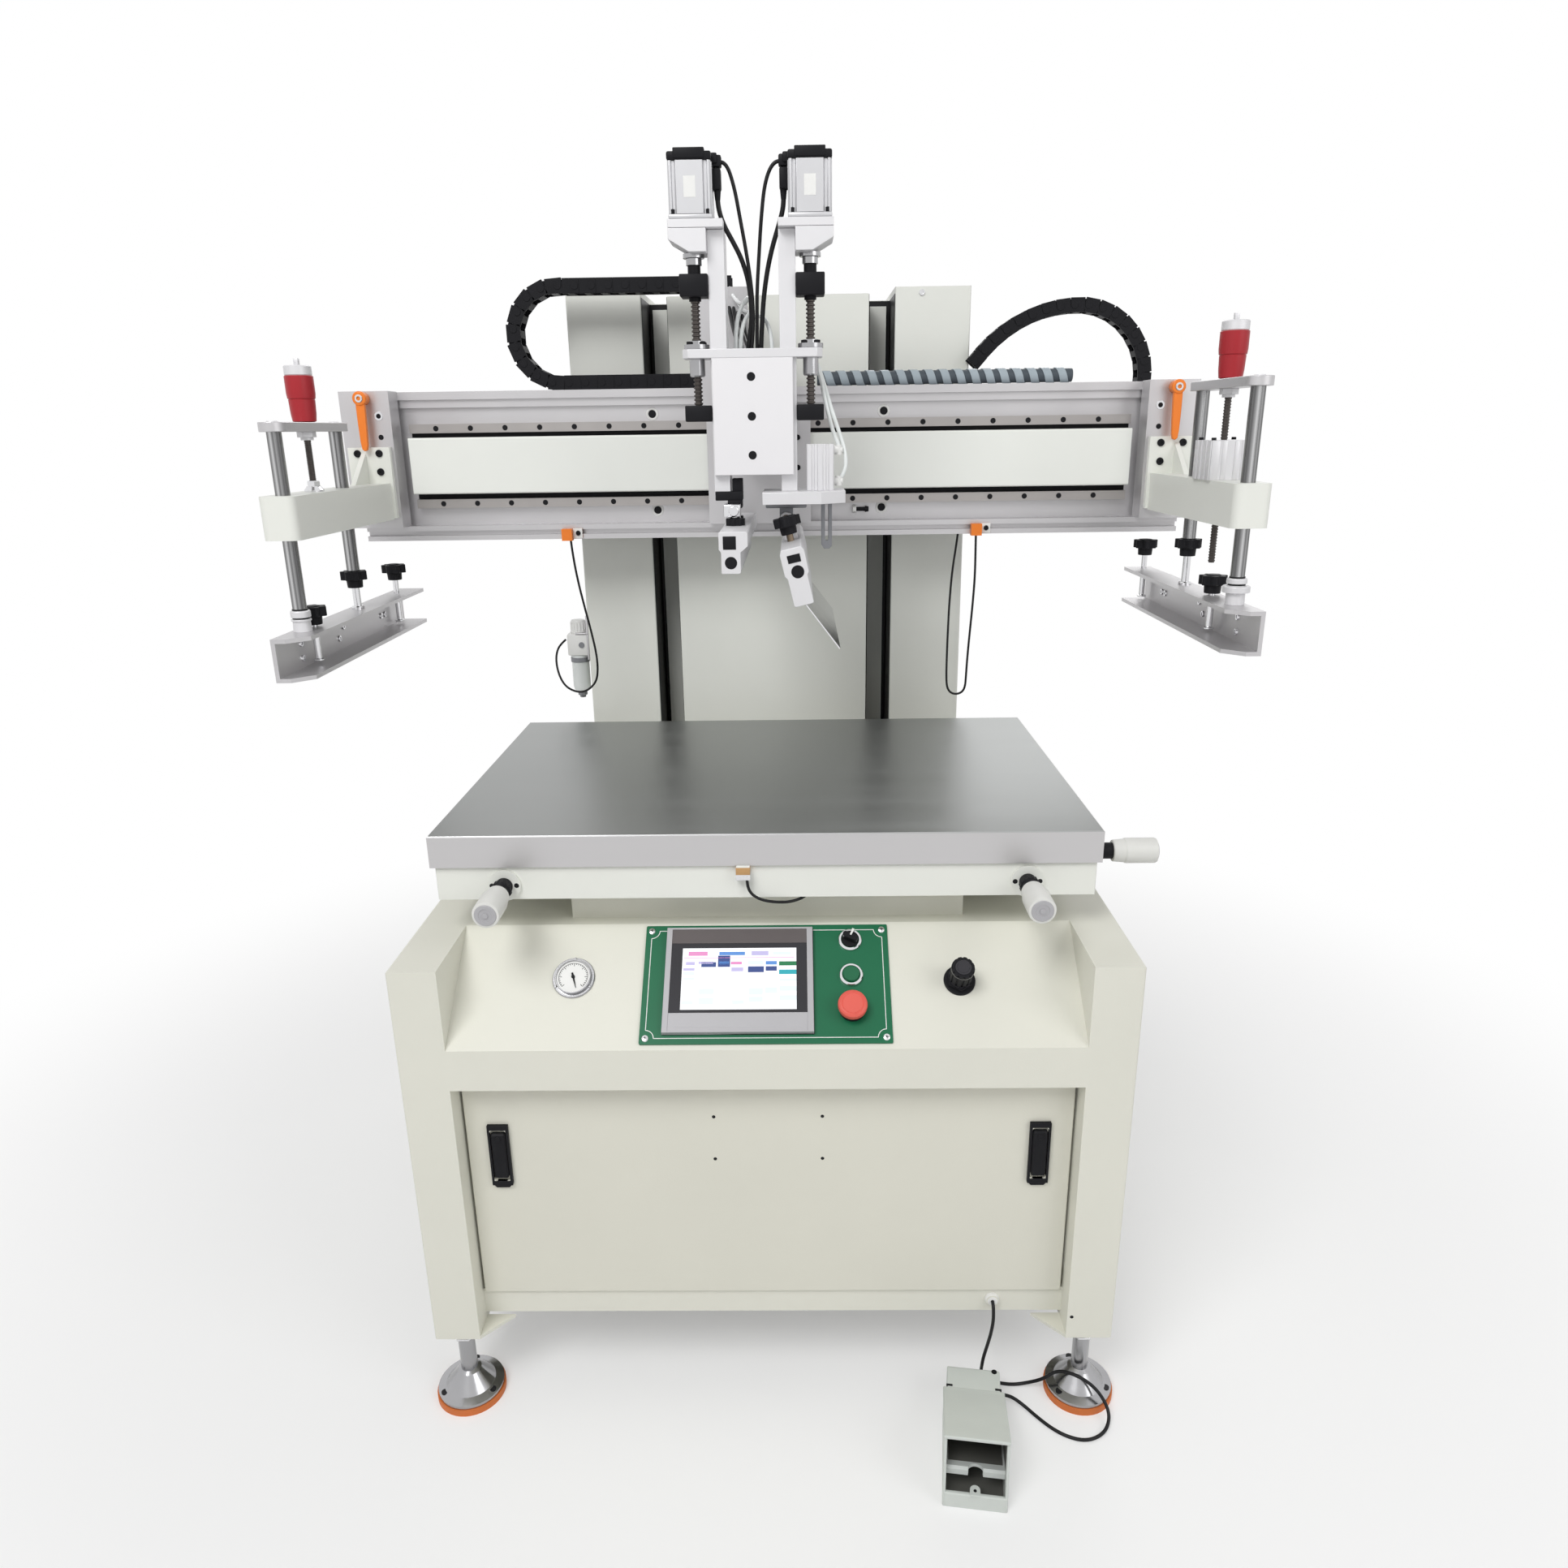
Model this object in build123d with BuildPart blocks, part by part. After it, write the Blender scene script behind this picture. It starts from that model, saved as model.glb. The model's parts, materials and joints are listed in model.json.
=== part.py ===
"""Flat-bed screen printing machine, in millimetres.

X runs across the machine, Y from the operator to the column and Z up. The
origin is on the floor, under the middle of the machine's bounding box.
"""
from build123d import *
import math
import os

os.makedirs("parts", exist_ok=True)

# Clearances
slide_gap = 0.3
shaft_gap = 0.1

# Places from the operator's side to the back
pedal_front = -626.0
table_front = -354.0
cabinet_front = -457.0
cabinet_back = 609.0

# Cabinet
cabinet_half_width = 487.5
cabinet_top = 716.0
leg_width = 66.0
leg_bottom = 126.0
rail_bottom = 540.0
console_low = 600.0
console_run = 140.0
cabinet_rounding = 4.0
housing_inset = 6.0
panel_thickness = 20.0
panel_inset = 32.0
panel_gap = 3.5
kick_bottom = 141.0
kick_top = 182.0
kick_inset = 37.0
kick_depth = 40.0
corner_plate_size = 42.0
corner_plate_thickness = 5.0
corner_plate_reach = 24.0
panel_hole_radius = 2.5
panel_hole_pitch_x = 149.0
panel_hole_pitch_z = 68.0
panel_hole_z = 442.0
latch_x = 373.0
latch_z = 418.0
latch_width = 28.0
latch_height = 96.0
latch_depth = 5.0
latch_swing_room = 5.0
latch_lever_width = 20.0
latch_lever_height = 72.0
latch_lever_thickness = 7.0
latch_lever_room = 1.0
latch_lever_chamfer = 2.0
latch_window_rounding = 4.0
latch_lever_rounding = 3.0
grommet_x = 320.7
grommet_z = 162.0
grommet_radius = 9.0
grommet_length = 6.0

# Levelling feet
foot_radius = 50.0
foot_rubber_height = 10.0
foot_rim_thickness = 6.0
foot_neck_radius = 17.0
foot_bell_top = 42.0
foot_stem_radius = 12.0
foot_rim_inset = 2.0
foot_shoulder_inset = 14.0
foot_shoulder_rise = 4.0
foot_collar_rise = 3.0

# Console fittings, placed across and up the sloping panel
control_plate_size = (334.0, 170.0, 3.0)
control_plate_up = 92.0
control_plate_rounding = 2.0
screen_frame_size = (200.5, 150.0, 9.0)
screen_frame_x = -36.75
screen_frame_up = 95.0
screen_glass_size = (182.0, 100.5)
screen_glass_x = -37.0
screen_glass_up = 96.75
screen_recess = 1.5
screen_rounding = 3.0
screen_chamfer = 1.0
button_x = 115.0
selector_up = 153.0
start_up = 101.5
stop_up = 54.0
collar_radius = 15.0
selector_collar_height = 4.0
start_collar_height = 5.0
stop_collar_height = 6.0
stop_collar_radius = 17.0
button_radius = 11.0
button_floor = 1.0
button_chamfer = 1.0
start_travel = 2.5
stop_travel = 4.0
stop_head_radius = 19.75
stop_head_height = 11.0
stop_head_lift = 5.0
stop_head_rounding = 4.0
selector_radius = 11.5
selector_body_height = 9.0
selector_grip = (8.0, 21.5, 11.0)
selector_turn = -25.0
gauge_x = -262.0
gauge_up = 101.5
gauge_flange_radius = 29.0
gauge_body_radius = 25.0
gauge_flange_thickness = 3.0
gauge_height = 8.0
gauge_dial_depth = 3.0
gauge_rim = 2.5
regulator_x = 261.0
regulator_up = 94.0
regulator_nut_radius = 18.0
regulator_nut_height = 9.0
regulator_knob_radius = 15.0
regulator_knob_height = 36.0
regulator_flutes = 12
regulator_flute_radius = 1.5

# Print table
table_width = 900.0
table_depth = 600.0
table_thickness = 45.0
table_top = 862.6
table_chamfer = 1.5
subframe_thickness = 48.0
subframe_inset = 5.0
subframe_rounding = 3.0
support_half_width = 276.0
support_inset = 60.0
cross_slide_thickness = 16.0
cross_slide_inset = 12.0
adjuster_inset = 98.0
adjuster_x = table_width / 2 - adjuster_inset
adjuster_z = 791.0
adjuster_flange_radius = 22.0
adjuster_flange_thickness = 4.0
adjuster_collar_radius = 11.0
adjuster_collar_length = 26.0
adjuster_grip_radius = 18.0
adjuster_grip_length = 70.0
adjuster_chamfer = 2.0
side_adjuster_y = -266.0
side_adjuster_z = 800.0
side_flange_radius = 15.0
side_collar_length = 36.0
side_grip_length = 64.0
table_sensor_x = -29.0
table_sensor_size = (18.0, 12.0, 18.0)

# Column and lift
column_half_width = 357.5
column_front = 386.0
column_top = 1607.0
column_centre_top = 1597.0
slot_inner = 178.0
slot_outer = 224.0
slot_back = 506.0
lift_rail_width = 30.0
lift_rail_depth = 20.0
lift_rail_margin = 12.0
column_rounding = 3.0
chain_foot_x = (334.0, 368.0)
chain_foot_z = (1450.0, 1464.0)
chain_foot_front = 357.0
filter_x = -380.0
filter_y = 408.0
filter_body = 40.0
filter_top = 1036.0
filter_head_z = (958.0, 1000.0)
filter_bracket_low = 950.0
filter_bowl_low = 884.0
filter_bowl_radius = 17.0
filter_drain_low = 872.0
filter_drain_radius = 9.0
filter_cap_top = 1026.0
filter_cap_radius = 16.0

# Beam
beam_half_length = 710.0
beam_front = 286.0
beam_back = 351.0
beam_bottom = 1193.0
beam_top = 1441.0
lip_front = 256.0
lip_top = 1218.0
cornice_front = 272.0
cornice_step = 6.0
cornice_bottom = 1415.0
cornice_mid = 1428.0
groove_width = 8.0
groove_depth = 9.0
rear_groove_inset = 40.0
rail_size = 15.0
upper_rail_z = 1381.0
lower_rail_z = 1255.0
cover_bottom = 1272.0
cover_top = 1366.0
cover_front = 258.0
cover_rounding = 3.0
lift_block_x = 201.0
lift_block_width = 36.0
lift_block_bottom = 1230.0
lift_block_top = 1410.0

# End brackets with the frame holder arms
bracket_inner = 636.0
rail_end_clearance = 15.0
rail_half_length = bracket_inner - rail_end_clearance
bracket_web = 12.0
bracket_outer = 720.0
bracket_front = 229.0
bracket_thickness = 12.0
bracket_bottom = 1218.0
bracket_top = 1442.0
lever_x = 677.0
lever_z = 1430.0
lever_hub_radius = 10.0
lever_length = 84.0
lever_width = 13.0
lever_thickness = 8.0
lever_standoff = 15.0
lever_taper = 2.0
rod_x = 672.0
arm_half_width = 26.0
arm_inner = rod_x - arm_half_width
arm_outer = rod_x + arm_half_width
arm_front = -164.0
arm_bottom = 1233.0
arm_top = 1293.0
arm_flange = (641.0, 712.0, 1235.0, 1352.0)
arm_flange_thickness = 10.0
arm_rounding = 12.0
gusset_thickness = 8.0
gusset_length = 62.0
gusset_drop = 10.0
arm_block_size = (56.0, 62.0, 55.0)

# Frame holders
rod_front_y = -136.0
rod_rear_y = 76.0
rod_radius = 10.0
holder_plate_width = 38.0
holder_plate_thickness = 13.0
left_plate_bottom = 1378.0
right_plate_bottom = 1419.0
height_knob_y = -30.0
height_knob_radius = 20.0
height_knob_low_radius = 17.5
height_knob_grip = 62.0
height_knob_cap = 14.0
height_knob_stub = 10.0
height_knob_stub_radius = 4.0
height_knob_foot = 2.0
height_knob_foot_inset = 3.0
height_knob_step = 1.0
height_screw_radius = 5.0
left_screw_bottom = 1245.0
right_screw_bottom = 1172.0
channel_lip = 29.0
channel_spine = 18.0
channel_inner = rod_x - channel_lip
channel_outer = rod_x + channel_spine
channel_front = -204.0
channel_back = 316.0
channel_height = 62.0
channel_wall = 6.0
channel_chamfer = 26.0
cut_margin = 1.0
left_channel_bottom = 1040.0
right_channel_bottom = 1063.0
rod_collar_radius = 14.0
rod_collar_height = 16.0
star_radius = 18.0
star_lobes = 7
star_lobe_radius = 4.5
star_height = 13.0
star_web_radius = 16.0
star_lobe_centre = 15.0
star_neck_radius = 11.0
star_neck_height = 12.0
stud_radius = 5.0
front_knob_stand = 4.0
rear_knob_stand = 24.0
rod_stud_radius = 6.0
left_rod_knob_low = 1137.0
right_rod_knob_low = 1171.0
stud_pad_radius = 8.0
stud_pad_thickness = 4.0
stud_pad_lift = 5.0
left_stud_y = (-96.0, 258.0)
right_stud_y = (-46.0, 296.0)

# Proximity switches under the beam
sensor_size = (18.0, 16.0, 20.0)
left_sensor_x = -355.0
right_sensor_x = 360.0
sensor_top = 1211.0
sensor_plate = (16.0, 3.0, 16.0)

# Carriage
carriage_left = -104.0
carriage_right = 72.0
carriage_front = 238.0
carriage_thickness = 12.0
carriage_bottom = 1217.0
carriage_top = 1412.0
runner_length = 52.0
runner_height = 22.0
runner_inset = 8.0
chain_bracket_x = (-112.0, -30.0)
chain_bracket_thickness = 6.0
arm_box_x = (-44.0, 20.0)
arm_box_z = (1325.0, 1464.0)
head_front = -60.0
head_plate_thickness = 12.0
head_plate_x = (-71.0, 44.0)
head_plate_z = (1309.0, 1469.0)
head_plate_chamfer = 0.8
nut_plate_x = (-112.0, 86.0)
nut_plate_thickness = 12.0
nut_plate_depth = 52.0

# Squeegee and flood bar units
bar_width = 23.5
bar_depth = 56.0
bar_bottom = 1285.5
bar_top = 1635.0
left_bar_x = -61.25
right_bar_x = 37.25
left_screw_x = -93.0
right_screw_x = 69.5
screw_y = -34.0
screw_radius = 6.0
nut_radius = 11.0
nut_flange_radius = 18.0
nut_flange_height = 12.0
nut_body_height = 24.0
unit_plate_thickness = 11.0
unit_gusset_drop = 30.0
unit_gusset_edge = 6.0
unit_gusset_foot = 22.0
motor_plate_margin = 2.0
motor_size = 60.0
motor_height = 71.0
motor_cap_height = 15.0
motor_corner = 5.0
motor_chamfer = 3.0
upper_block_size = (40.0, 40.0, 29.0)
upper_block_z = 1550.0
lower_block_size = (37.0, 38.0, 22.0)
lower_block_z = 1384.0

# Squeegee clamp
lug_y = (-40.0, -28.0)
lug_half = 10.0
lug_root = 4.0
ear_thickness = 10.0
knob_y = -84.0
knob_drop = 8.0
clamp_front = -189.0
clamp_back = 171.0
squeegee_pivot_x = -46.0
squeegee_pivot_z = 1260.0
pivot_radius = 6.0

squeegee_clamp_profile = (
    (-12.0, -16.0), (-14.0, -22.0), (-14.0, -44.0), (-11.0, -48.0), (-11.0, -77.0), (16.0, -77.0),
    (16.0, -48.0), (26.0, -40.0), (26.0, -22.0), (20.0, -16.0))

# Flood bar clamp
flood_clamp_profile = (
    (-14.0, -34.0), (-17.0, -40.0), (-17.0, -66.0), (-14.0, -70.0), (-14.0, -110.0), (14.0, -110.0),
    (14.0, -70.0), (17.0, -66.0), (17.0, -40.0), (14.0, -34.0))
blade_root = 2.0
flood_plate = (-2.0, 119.0, 1268.0, 1286.0)
flood_plate_front = -84.0
flood_plate_back = 20.0
flood_plate_corner = (36.0, 26.0)
cylinder_x = 82.5
cylinder_y = -24.0
cylinder_size = 40.0
cylinder_height = 65.0
cylinder_rounding = 3.0
cylinder_groove_pitch = 12.0
cylinder_groove = (4.0, 3.0)
guide_x = (84.0, 100.0)
guide_y = (-32.0, -18.0)
guide_bottom = 1200.0
flood_pivot_x = 32.0
flood_pivot_z = 1246.0
flood_tilt = 13.0
blade_thickness = 1.5
blade_root_thickness = 1.8
blade_tip = (107.0, 1077.0)

# Cable chains
chain_radius = 76.75
chain_thickness = 24.0
chain_width = 40.0
chain_wall = 4.0
chain_skin = 2.5
chain_skin_inset = 0.8
chain_skin_offset = (chain_thickness - chain_skin) / 2 - chain_skin_inset
chain_bar_length = 15.0
chain_pitch = 29.0
chain_y = 316.0
chain_bend_x = -356.0
chain_end_x = -60.0
lift_chain_width = 32.0
lift_chain_y = 367.3
lift_chain_peak = (542.0, 1570.0)
lift_chain_right_radius = 120.0
lift_chain_left_radius = 220.0
lift_chain_start_x = 377.0
lift_chain_tail = 40.0
lift_chain_root = 24.0
lift_chain_links = 15
bundle_radius = 13.0
bundle_x = (84.0, 524.0)
bundle_y = 306.0

# Foot pedal
pedal_x = 283.5
pedal_turn = -7.5
pedal_half_length = 94.0
pedal_half_width = 43.0
pedal_wall = 4.0
pedal_floor = 6.0
pedal_lip_height = 24.0
pedal_hood_front = -78.0
pedal_hood_top = 106.0
pedal_step = 40.0
pedal_rear_height = 54.0
pedal_bevel = 8.0
pedal_rounding = 6.0
pedal_lip_depth = 8.0
pedal_step_wall = 4.0
pedal_rear_wall = 7.0
pedal_hood_wall = 5.0
pedal_mouth_margin = (40.0, 10.0)
treadle_pivot = (28.0, 24.0)
treadle_pin_radius = 4.0
treadle_length = 104.0
treadle_thickness = 5.0
treadle_slope = 13.0
treadle_notch_radius = 10.0
treadle_nose = 3.0
treadle_nose_drop = 9.0

# Cords
cord_radius = 2.5
lead_radius = 2.0


def keep(builder, name):
    """Name a finished piece and write it."""
    builder.part.label = name
    export_step(builder.part, f"parts/{name}.step")


def box_between(low, high):
    """Add a block from its low corner to its high corner."""
    middle = [(a + b) / 2 for a, b in zip(low, high)]
    size = [b - a for a, b in zip(low, high)]
    with Locations(tuple(middle)):
        Box(*size)


def cylinder_up(x, y, low, high, radius):
    """Add an upright cylinder between two heights."""
    with Locations((x, y, low)):
        Cylinder(radius, high - low, align=(Align.CENTER, Align.CENTER, Align.MIN))


def console_plane():
    """The sloping console: local X across, local Y up the slope, local Z out of it."""
    angle = math.atan2(cabinet_top - console_low, console_run)
    return Plane(origin=(0, cabinet_front, console_low), x_dir=(1, 0, 0),
                 z_dir=(0, -math.sin(angle), math.cos(angle)))


def cord_radii(points):
    """Radii that round each corner of a cord's route as far as its runs allow."""
    radii = []
    for before, corner, after in zip(points, points[1:], points[2:]):
        first = Vector(*corner) - Vector(*before)
        second = Vector(*after) - Vector(*corner)
        turn = math.radians(first.get_angle(second))
        radii.append(0.45 * min(first.length, second.length) / math.tan(turn / 2))
    return radii


def make_cord(name, points, radius):
    """Sweep a round cord along its route."""
    radii = cord_radii(points)
    print(name, "bend radii", [round(value, 1) for value in radii])
    with BuildPart() as cord:
        with BuildLine():
            route = FilletPolyline(*points, radius=radii)
        with BuildSketch(Plane(route @ 0, z_dir=route % 0)):
            Circle(radius)
        sweep()
    print(name, "length", round(route.length, 1), "volume ratio",
          round(cord.part.volume / (math.pi * radius ** 2 * route.length), 4))
    keep(cord, name)


# Cabinet

def cabinet_shell():
    """The welded frame, the console head between its sides, and the panels."""
    inner = cabinet_half_width - leg_width
    kick_front = cabinet_front + kick_inset
    side_out = cabinet_half_width - housing_inset
    back_face = cabinet_back - panel_inset / 2
    with BuildPart() as frame:
        for start in (-cabinet_half_width, inner):
            with BuildSketch(Plane.YZ.offset(start)):
                with BuildLine():
                    Polyline(
                        (cabinet_front, leg_bottom), (cabinet_front, cabinet_top),
                        (cabinet_back, cabinet_top), (cabinet_back, leg_bottom),
                        (cabinet_back - leg_width, leg_bottom), (cabinet_back - leg_width, rail_bottom),
                        (cabinet_front + leg_width, rail_bottom), (cabinet_front + leg_width, leg_bottom),
                        close=True)
                make_face()
            extrude(amount=leg_width)
        outer_edges = (frame.edges().filter_by(Axis.Z)
                       .filter_by(lambda e: abs(e.center().X) > inner + leg_width / 2)
                       .filter_by(lambda e: e.length > rail_bottom - leg_bottom + 1))
        top_edges = (frame.edges().filter_by(Axis.Y).group_by(Axis.Z)[-1]
                     .filter_by(lambda e: abs(e.center().X) > inner + leg_width / 2))
        fillet(outer_edges + top_edges, radius=cabinet_rounding)
        box_between((-inner, kick_front, kick_bottom), (inner, kick_front + kick_depth, kick_top))
        box_between((-inner, back_face - kick_depth, kick_bottom), (inner, back_face, kick_top))
        for side in (-1, 1):
            with Locations((side * (side_out - kick_depth / 2), (cabinet_front + cabinet_back) / 2,
                            (kick_bottom + kick_top) / 2)):
                Box(kick_depth, cabinet_back - cabinet_front - 2 * leg_width, kick_top - kick_bottom)
        with BuildSketch(Plane.XY.offset(leg_bottom)):
            for side in (-1, 1):
                for corner_y, forward in ((cabinet_front + leg_width - corner_plate_reach, -1),
                                          (cabinet_back - leg_width + corner_plate_reach, 1)):
                    with BuildLine():
                        Polyline((side * inner, corner_y),
                                 (side * (inner - corner_plate_size), corner_y),
                                 (side * inner, corner_y + forward * corner_plate_size), close=True)
                    make_face()
        extrude(amount=corner_plate_thickness)
        with BuildSketch(Plane.XZ.offset(-kick_front)):
            with Locations((grommet_x, grommet_z)):
                Circle(grommet_radius)
        extrude(amount=grommet_length)
    keep(frame, "cabinet_frame")

    with BuildPart() as cabinet_head:
        with BuildSketch(Plane.YZ.offset(-inner)):
            with BuildLine():
                Polyline(
                    (cabinet_front, rail_bottom), (cabinet_front, console_low),
                    (cabinet_front + console_run, cabinet_top), (cabinet_back, cabinet_top),
                    (cabinet_back, rail_bottom), close=True)
            make_face()
        extrude(amount=2 * inner)
    keep(cabinet_head, "cabinet_head")

    panel_half = inner - panel_gap
    panel_front = cabinet_front + panel_inset
    with BuildPart() as front_panel:
        box_between((-panel_half, panel_front, kick_top),
                    (panel_half, panel_front + panel_thickness, rail_bottom - slide_gap))
        fillet(front_panel.edges().filter_by(Axis.Z).group_by(Axis.Y)[0], radius=cabinet_rounding / 2)
        with BuildSketch(Plane.XZ.offset(-panel_front)):
            with Locations((0, panel_hole_z)):
                with GridLocations(panel_hole_pitch_x, panel_hole_pitch_z, 2, 2):
                    Circle(panel_hole_radius)
        extrude(amount=-panel_thickness, mode=Mode.SUBTRACT)
        with BuildSketch(Plane.XZ.offset(-panel_front)):
            with Locations((-latch_x, latch_z), (latch_x, latch_z)):
                RectangleRounded(latch_width, latch_height, latch_width / 4)
                RectangleRounded(latch_lever_width + 2 * latch_lever_room,
                                 latch_lever_height + 2 * latch_swing_room, latch_window_rounding,
                                 mode=Mode.SUBTRACT)
        extrude(amount=latch_depth)
    keep(front_panel, "front_panel")

    side_front = cabinet_front + leg_width + panel_gap
    side_back = cabinet_back - leg_width - panel_gap
    with BuildPart() as housing_panels:
        for side in (-1, 1):
            with Locations((side * (side_out - panel_thickness / 2), (side_front + side_back) / 2,
                            (kick_top + rail_bottom - slide_gap) / 2)):
                Box(panel_thickness, side_back - side_front, rail_bottom - slide_gap - kick_top)
        box_between((-panel_half, back_face - panel_thickness, kick_top),
                    (panel_half, back_face, rail_bottom - slide_gap))
    keep(housing_panels, "housing_panels")


def latch_levers():
    """The two swing handles that lie in the panel's latch frames."""
    face = cabinet_front + panel_inset
    for name, x in (("left_latch_lever", -latch_x), ("right_latch_lever", latch_x)):
        with BuildPart() as lever:
            with BuildSketch(Plane.XZ.offset(-face + slide_gap)):
                with Locations((x, latch_z)):
                    RectangleRounded(latch_lever_width, latch_lever_height, latch_lever_rounding)
            extrude(amount=latch_lever_thickness)
            chamfer(lever.faces().sort_by(Axis.Y)[0].edges(), length=latch_lever_chamfer)
        keep(lever, name)


def levelling_feet():
    """Four screw feet: a chrome stem and bell over an orange rubber pad."""
    foot_x = cabinet_half_width - leg_width / 2
    rim_radius = foot_radius - foot_rim_inset
    rim_top = foot_rubber_height + foot_rim_thickness
    places = [(side * foot_x, y) for side in (-1, 1)
              for y in (cabinet_front + leg_width / 2, cabinet_back - leg_width / 2)]
    with BuildPart() as feet:
        for x, y in places:
            with BuildSketch(Plane(origin=(x, y, 0), x_dir=(1, 0, 0), z_dir=(0, -1, 0))):
                with BuildLine():
                    Polyline(
                        (0, foot_rubber_height), (rim_radius, foot_rubber_height),
                        (rim_radius, rim_top),
                        (foot_radius - foot_shoulder_inset, rim_top + foot_shoulder_rise),
                        (foot_neck_radius, foot_bell_top),
                        (foot_stem_radius, foot_bell_top + foot_collar_rise),
                        (foot_stem_radius, leg_bottom), (0, leg_bottom), close=True)
                make_face()
            revolve(axis=Axis((x, y, 0), (0, 0, 1)))
    keep(feet, "levelling_feet")
    with BuildPart() as rubbers:
        with BuildSketch(Plane.XY):
            with Locations(*places):
                Circle(foot_radius)
        extrude(amount=foot_rubber_height)
    keep(rubbers, "foot_rubbers")


# Console

def console_fittings():
    """Control plate, operator screen, gauge, buttons and the air regulator."""
    slope = console_plane()
    thickness = control_plate_size[2]
    collars = ((selector_up, selector_collar_height, collar_radius, selector_radius),
               (start_up, start_collar_height, collar_radius, button_radius),
               (stop_up, stop_collar_height, stop_collar_radius, button_radius))
    with BuildPart() as plate:
        with BuildSketch(slope):
            with Locations((0, control_plate_up)):
                RectangleRounded(control_plate_size[0], control_plate_size[1], control_plate_rounding)
        extrude(amount=thickness)
        for up, height, radius, bore in collars:
            with BuildSketch(slope.offset(thickness)):
                with Locations((button_x, up)):
                    Circle(radius)
            extrude(amount=height)
            with BuildSketch(slope.offset(thickness + height)):
                with Locations((button_x, up)):
                    Circle(bore + slide_gap)
            extrude(amount=-(thickness + height), mode=Mode.SUBTRACT)
    keep(plate, "control_plate")

    with BuildPart() as screen:
        with BuildSketch(slope.offset(thickness)):
            with Locations((screen_frame_x, screen_frame_up)):
                RectangleRounded(screen_frame_size[0], screen_frame_size[1], screen_rounding)
        extrude(amount=screen_frame_size[2])
        chamfer(screen.faces().sort_by(Axis(slope.origin, slope.z_dir))[-1].edges(), length=screen_chamfer)
        with BuildSketch(slope.offset(thickness + screen_frame_size[2])):
            with Locations((screen_glass_x, screen_glass_up)):
                Rectangle(*screen_glass_size)
        extrude(amount=-screen_recess, mode=Mode.SUBTRACT)
    keep(screen, "operator_screen")

    with BuildPart() as gauge:
        with BuildSketch(slope):
            with Locations((gauge_x, gauge_up)):
                Circle(gauge_flange_radius)
        extrude(amount=gauge_flange_thickness)
        with BuildSketch(slope):
            with Locations((gauge_x, gauge_up)):
                Circle(gauge_body_radius)
        extrude(amount=gauge_height)
        with BuildSketch(slope.offset(gauge_height)):
            with Locations((gauge_x, gauge_up)):
                Circle(gauge_body_radius - gauge_rim)
        extrude(amount=-gauge_dial_depth, mode=Mode.SUBTRACT)
        with BuildSketch(slope):
            with Locations((regulator_x, regulator_up)):
                RegularPolygon(regulator_nut_radius, 6)
        extrude(amount=regulator_nut_height)
    keep(gauge, "gauge_and_nut")

    with BuildPart() as start_button:
        with BuildSketch(slope.offset(start_travel + button_floor)):
            with Locations((button_x, start_up)):
                Circle(button_radius)
        extrude(amount=thickness + start_collar_height)
        chamfer(start_button.edges().sort_by(Axis(slope.origin, slope.z_dir))[-1], length=button_chamfer)
    keep(start_button, "start_button")

    with BuildPart() as stop_button:
        with BuildSketch(slope.offset(stop_travel + button_floor)):
            with Locations((button_x, stop_up)):
                Circle(button_radius)
        extrude(amount=thickness + stop_collar_height + stop_head_lift - stop_travel)
        with BuildSketch(slope.offset(thickness + stop_collar_height + stop_head_lift)):
            with Locations((button_x, stop_up)):
                Circle(stop_head_radius)
        extrude(amount=stop_head_height)
        fillet(stop_button.edges().sort_by(Axis(slope.origin, slope.z_dir))[-1], radius=stop_head_rounding)
    keep(stop_button, "stop_button")

    with BuildPart() as selector:
        with BuildSketch(slope.offset(slide_gap)):
            with Locations((button_x, selector_up)):
                Circle(selector_radius)
        extrude(amount=selector_body_height)
        with BuildSketch(slope.offset(selector_body_height)):
            with Locations(Location((button_x, selector_up), selector_turn)):
                SlotOverall(selector_grip[1], selector_grip[0])
        extrude(amount=selector_grip[2])
    keep(selector, "selector_knob")

    with BuildPart() as regulator:
        with BuildSketch(slope.offset(regulator_nut_height + slide_gap)):
            with Locations((regulator_x, regulator_up)):
                Circle(regulator_knob_radius)
                with PolarLocations(regulator_knob_radius, regulator_flutes):
                    Circle(regulator_flute_radius, mode=Mode.SUBTRACT)
        extrude(amount=regulator_knob_height)
    keep(regulator, "regulator_knob")


# Print table

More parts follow.
